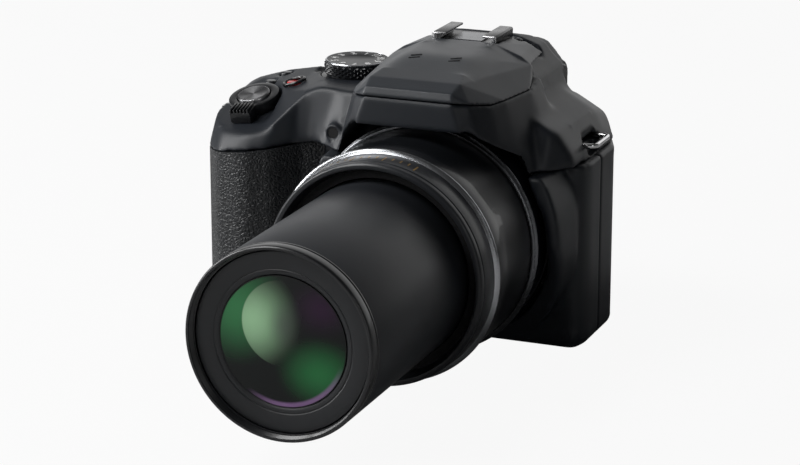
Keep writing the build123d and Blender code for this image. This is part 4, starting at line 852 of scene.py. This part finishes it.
# Controls of the back and the sides: moulded caps in their holes, a knurled wheel, and doors on hinges.
# The doors follow the case round them, and a latch slides in a recess of the battery door.
for name in (
    "lvf_button", "lock_button", "play_button", "display_button", "quick_menu_button", "cursor_pad", "set_button",
    "flash_button",
):
    eased_copy(name, 0.22, button_black, name)
WHEEL = (-64.0, 17.2, 66.6)
half_wheel = 2.0
wheel_r = 6.0
wheel = knurled(-half_wheel, half_wheel, wheel_r, wheel_r - 0.3, knurl_cells, 2, wheel_r - 1.0)
bmesh.ops.translate(wheel, vec=WHEEL, verts=wheel.verts)
settle("thumb_wheel", wheel, knurl_black, "rear_dial", ("rear_dial",), sharp=12.0)
dress("dioptre_wheel", knurl_black)
door_plastic = moulded("door_plastic", SHELL, 0.46)
eased_copy("battery_door", 0.25, door_plastic, "battery_door")
eased_copy("battery_latch", 0.2, button_black, "battery_latch")
eased_copy("port_door", 0.3, door_plastic, "port_door")

# Strap loops: steel plate, plated and bent, standing in oval recesses at both ends of the housing.
# Their edges are well rounded, so that a strap doesn't wear through.
bright_steel, _, _ = uneven("bright_steel", (0.68, 0.68, 0.69), 0.05, 120.0, 0.12, 0.1, 300.0, metal=1.0)
eased_copy("strap_eyelets", 0.5, bright_steel, BODY, segments=3)

# Autofocus lamp: a deep window in a moulded boss beside the hood.
# Its window is dressed in the same near-black painted shade as the lid's slots.
dress("af_lamp", painted_shade_black)

# Screen and viewfinder at the back: a glass cover over the display, and a rubber cup round the eyepiece window.
# Both are off, so the glass shows only what it mirrors.
screen_glass, _, _ = uneven("screen_glass", (0.006, 0.0065, 0.008), 0.15, 20.0, 0.05, 0.05, 40.0, coat=0.8)
dress("lcd_glass", screen_glass)
eyecup_rubber = moulded("eyecup_rubber", (0.010, 0.0105, 0.0115), 0.62, pitch=0.3 * MM, depth=0.04 * MM)
eyecup_voxel = 0.4 * MM
soft_copy("eyecup", eyecup_voxel, soft_turns, eyecup_rubber, BODY)

# Studio: a pale floor, a backdrop that shows white, and large soft lamps round the camera.
# The view is that of the photograph, found from the lens axis and the body's upright edges.
azimuth = radians(22.158)
elevation = radians(16.811)
view_depth = 0.8079
focal_pixels = 2710.5
image_size = (800, 465)
rim_pixel = (372.33, 276.39)
rim_centre = Vector((0, -0.085, 0.0387))
back = Vector((sin(azimuth) * cos(elevation), -cos(azimuth) * cos(elevation), sin(elevation)))
right = Vector((0, 0, 1)).cross(back).normalized()
up = back.cross(right)
offset_right = (rim_pixel[0] - image_size[0] / 2) / focal_pixels
offset_down = (rim_pixel[1] - image_size[1] / 2) / focal_pixels
to_rim = right * offset_right - up * offset_down - back
eye = bpy.data.cameras.new("photo_view")
eye.sensor_width = 36.0
eye.lens = eye.sensor_width * focal_pixels / image_size[0]
eye.clip_end = 10.0
camera = bpy.data.objects.new("photo_view", eye)
camera.matrix_world = Matrix.Translation(rim_centre - to_rim * view_depth) @ Matrix(
    (right, up, back)
).transposed().to_4x4()
bpy.context.scene.collection.objects.link(camera)
bpy.context.scene.camera = camera

floor_half = 1.5
floor_glow = 0.93
floor_shape = bmesh.new()
bmesh.ops.create_grid(floor_shape, x_segments=1, y_segments=1, size=floor_half)
floor_mesh = bpy.data.meshes.new("floor")
floor_shape.to_mesh(floor_mesh)
floor_shape.free()
floor = bpy.data.objects.new("floor", floor_mesh)
bpy.context.scene.collection.objects.link(floor)
floor_finish, floor_shader, _ = new_finish("floor", (0.5, 0.5, 0.5), 0.8)
floor_tree = floor_finish.node_tree
floor_seen = Wire(floor_tree, floor_tree.nodes.new("ShaderNodeLightPath").outputs["Is Camera Ray"])
floor_white = floor_seen.node("Emission", None, {"Color": (1, 1, 1, 1), "Strength": 1.0})
floor_mix = floor_seen.node(
    "MixShader", None, {0: floor_seen * floor_glow, 1: Wire(floor_tree, floor_shader.outputs[0]), 2: floor_white}
)
floor_tree.links.new(floor_mix.socket, floor_tree.nodes["Material Output"].inputs["Surface"])
floor_mesh.materials.append(floor_finish)

world = bpy.data.worlds.new("studio")
bpy.context.scene.world = world
world.use_nodes = True
sky = world.node_tree
paths = sky.nodes.new("ShaderNodeLightPath").outputs
seen = Wire(sky, paths["Is Camera Ray"])
mirrored = Wire(sky, paths["Is Glossy Ray"]).maths("MAXIMUM", Wire(sky, paths["Is Transmission Ray"]))
heading = Wire(sky, sky.nodes.new("ShaderNodeTexCoord").outputs["Generated"])
backdrop_from, backdrop_full = 0.45, 0.95
backdrop = along_axis(heading, (0, 0, 0), (0, 1, 0)).step(backdrop_from, backdrop_full)
room_light = 0.045
strength = seen.maths("MAXIMUM", mirrored * backdrop).maths("MAXIMUM", room_light)
sky.links.new(strength.socket, sky.nodes["Background"].inputs["Strength"])
sky.nodes["Background"].inputs["Color"].default_value = (1, 1, 1, 1)

lit_spot = Vector((0, -0.05, 0.05))
for name, place, width, length, power in (
    ("top_box", (-0.55, -0.35, 0.85), 0.5, 0.35, 5.4),
    ("left_box", (-1.0, -0.3, 0.4), 0.26, 0.7, 8.0),
    ("right_box", (0.8, -0.7, 0.3), 0.07, 0.6, 0.55),
    ("front_box", (-0.5, -1.0, 0.5), 0.4, 0.3, 2.6),
):
    lamp = bpy.data.lights.new(name, "AREA")
    lamp.shape = "RECTANGLE"
    lamp.size = width
    lamp.size_y = length
    lamp.energy = power
    lamp_object = bpy.data.objects.new(name, lamp)
    aim = lit_spot - Vector(place)
    lamp_object.matrix_world = Matrix.Translation(place) @ aim.to_track_quat("-Z", "Y").to_matrix().to_4x4()
    bpy.context.scene.collection.objects.link(lamp_object)
bpy.context.scene.view_settings.view_transform = "Standard"
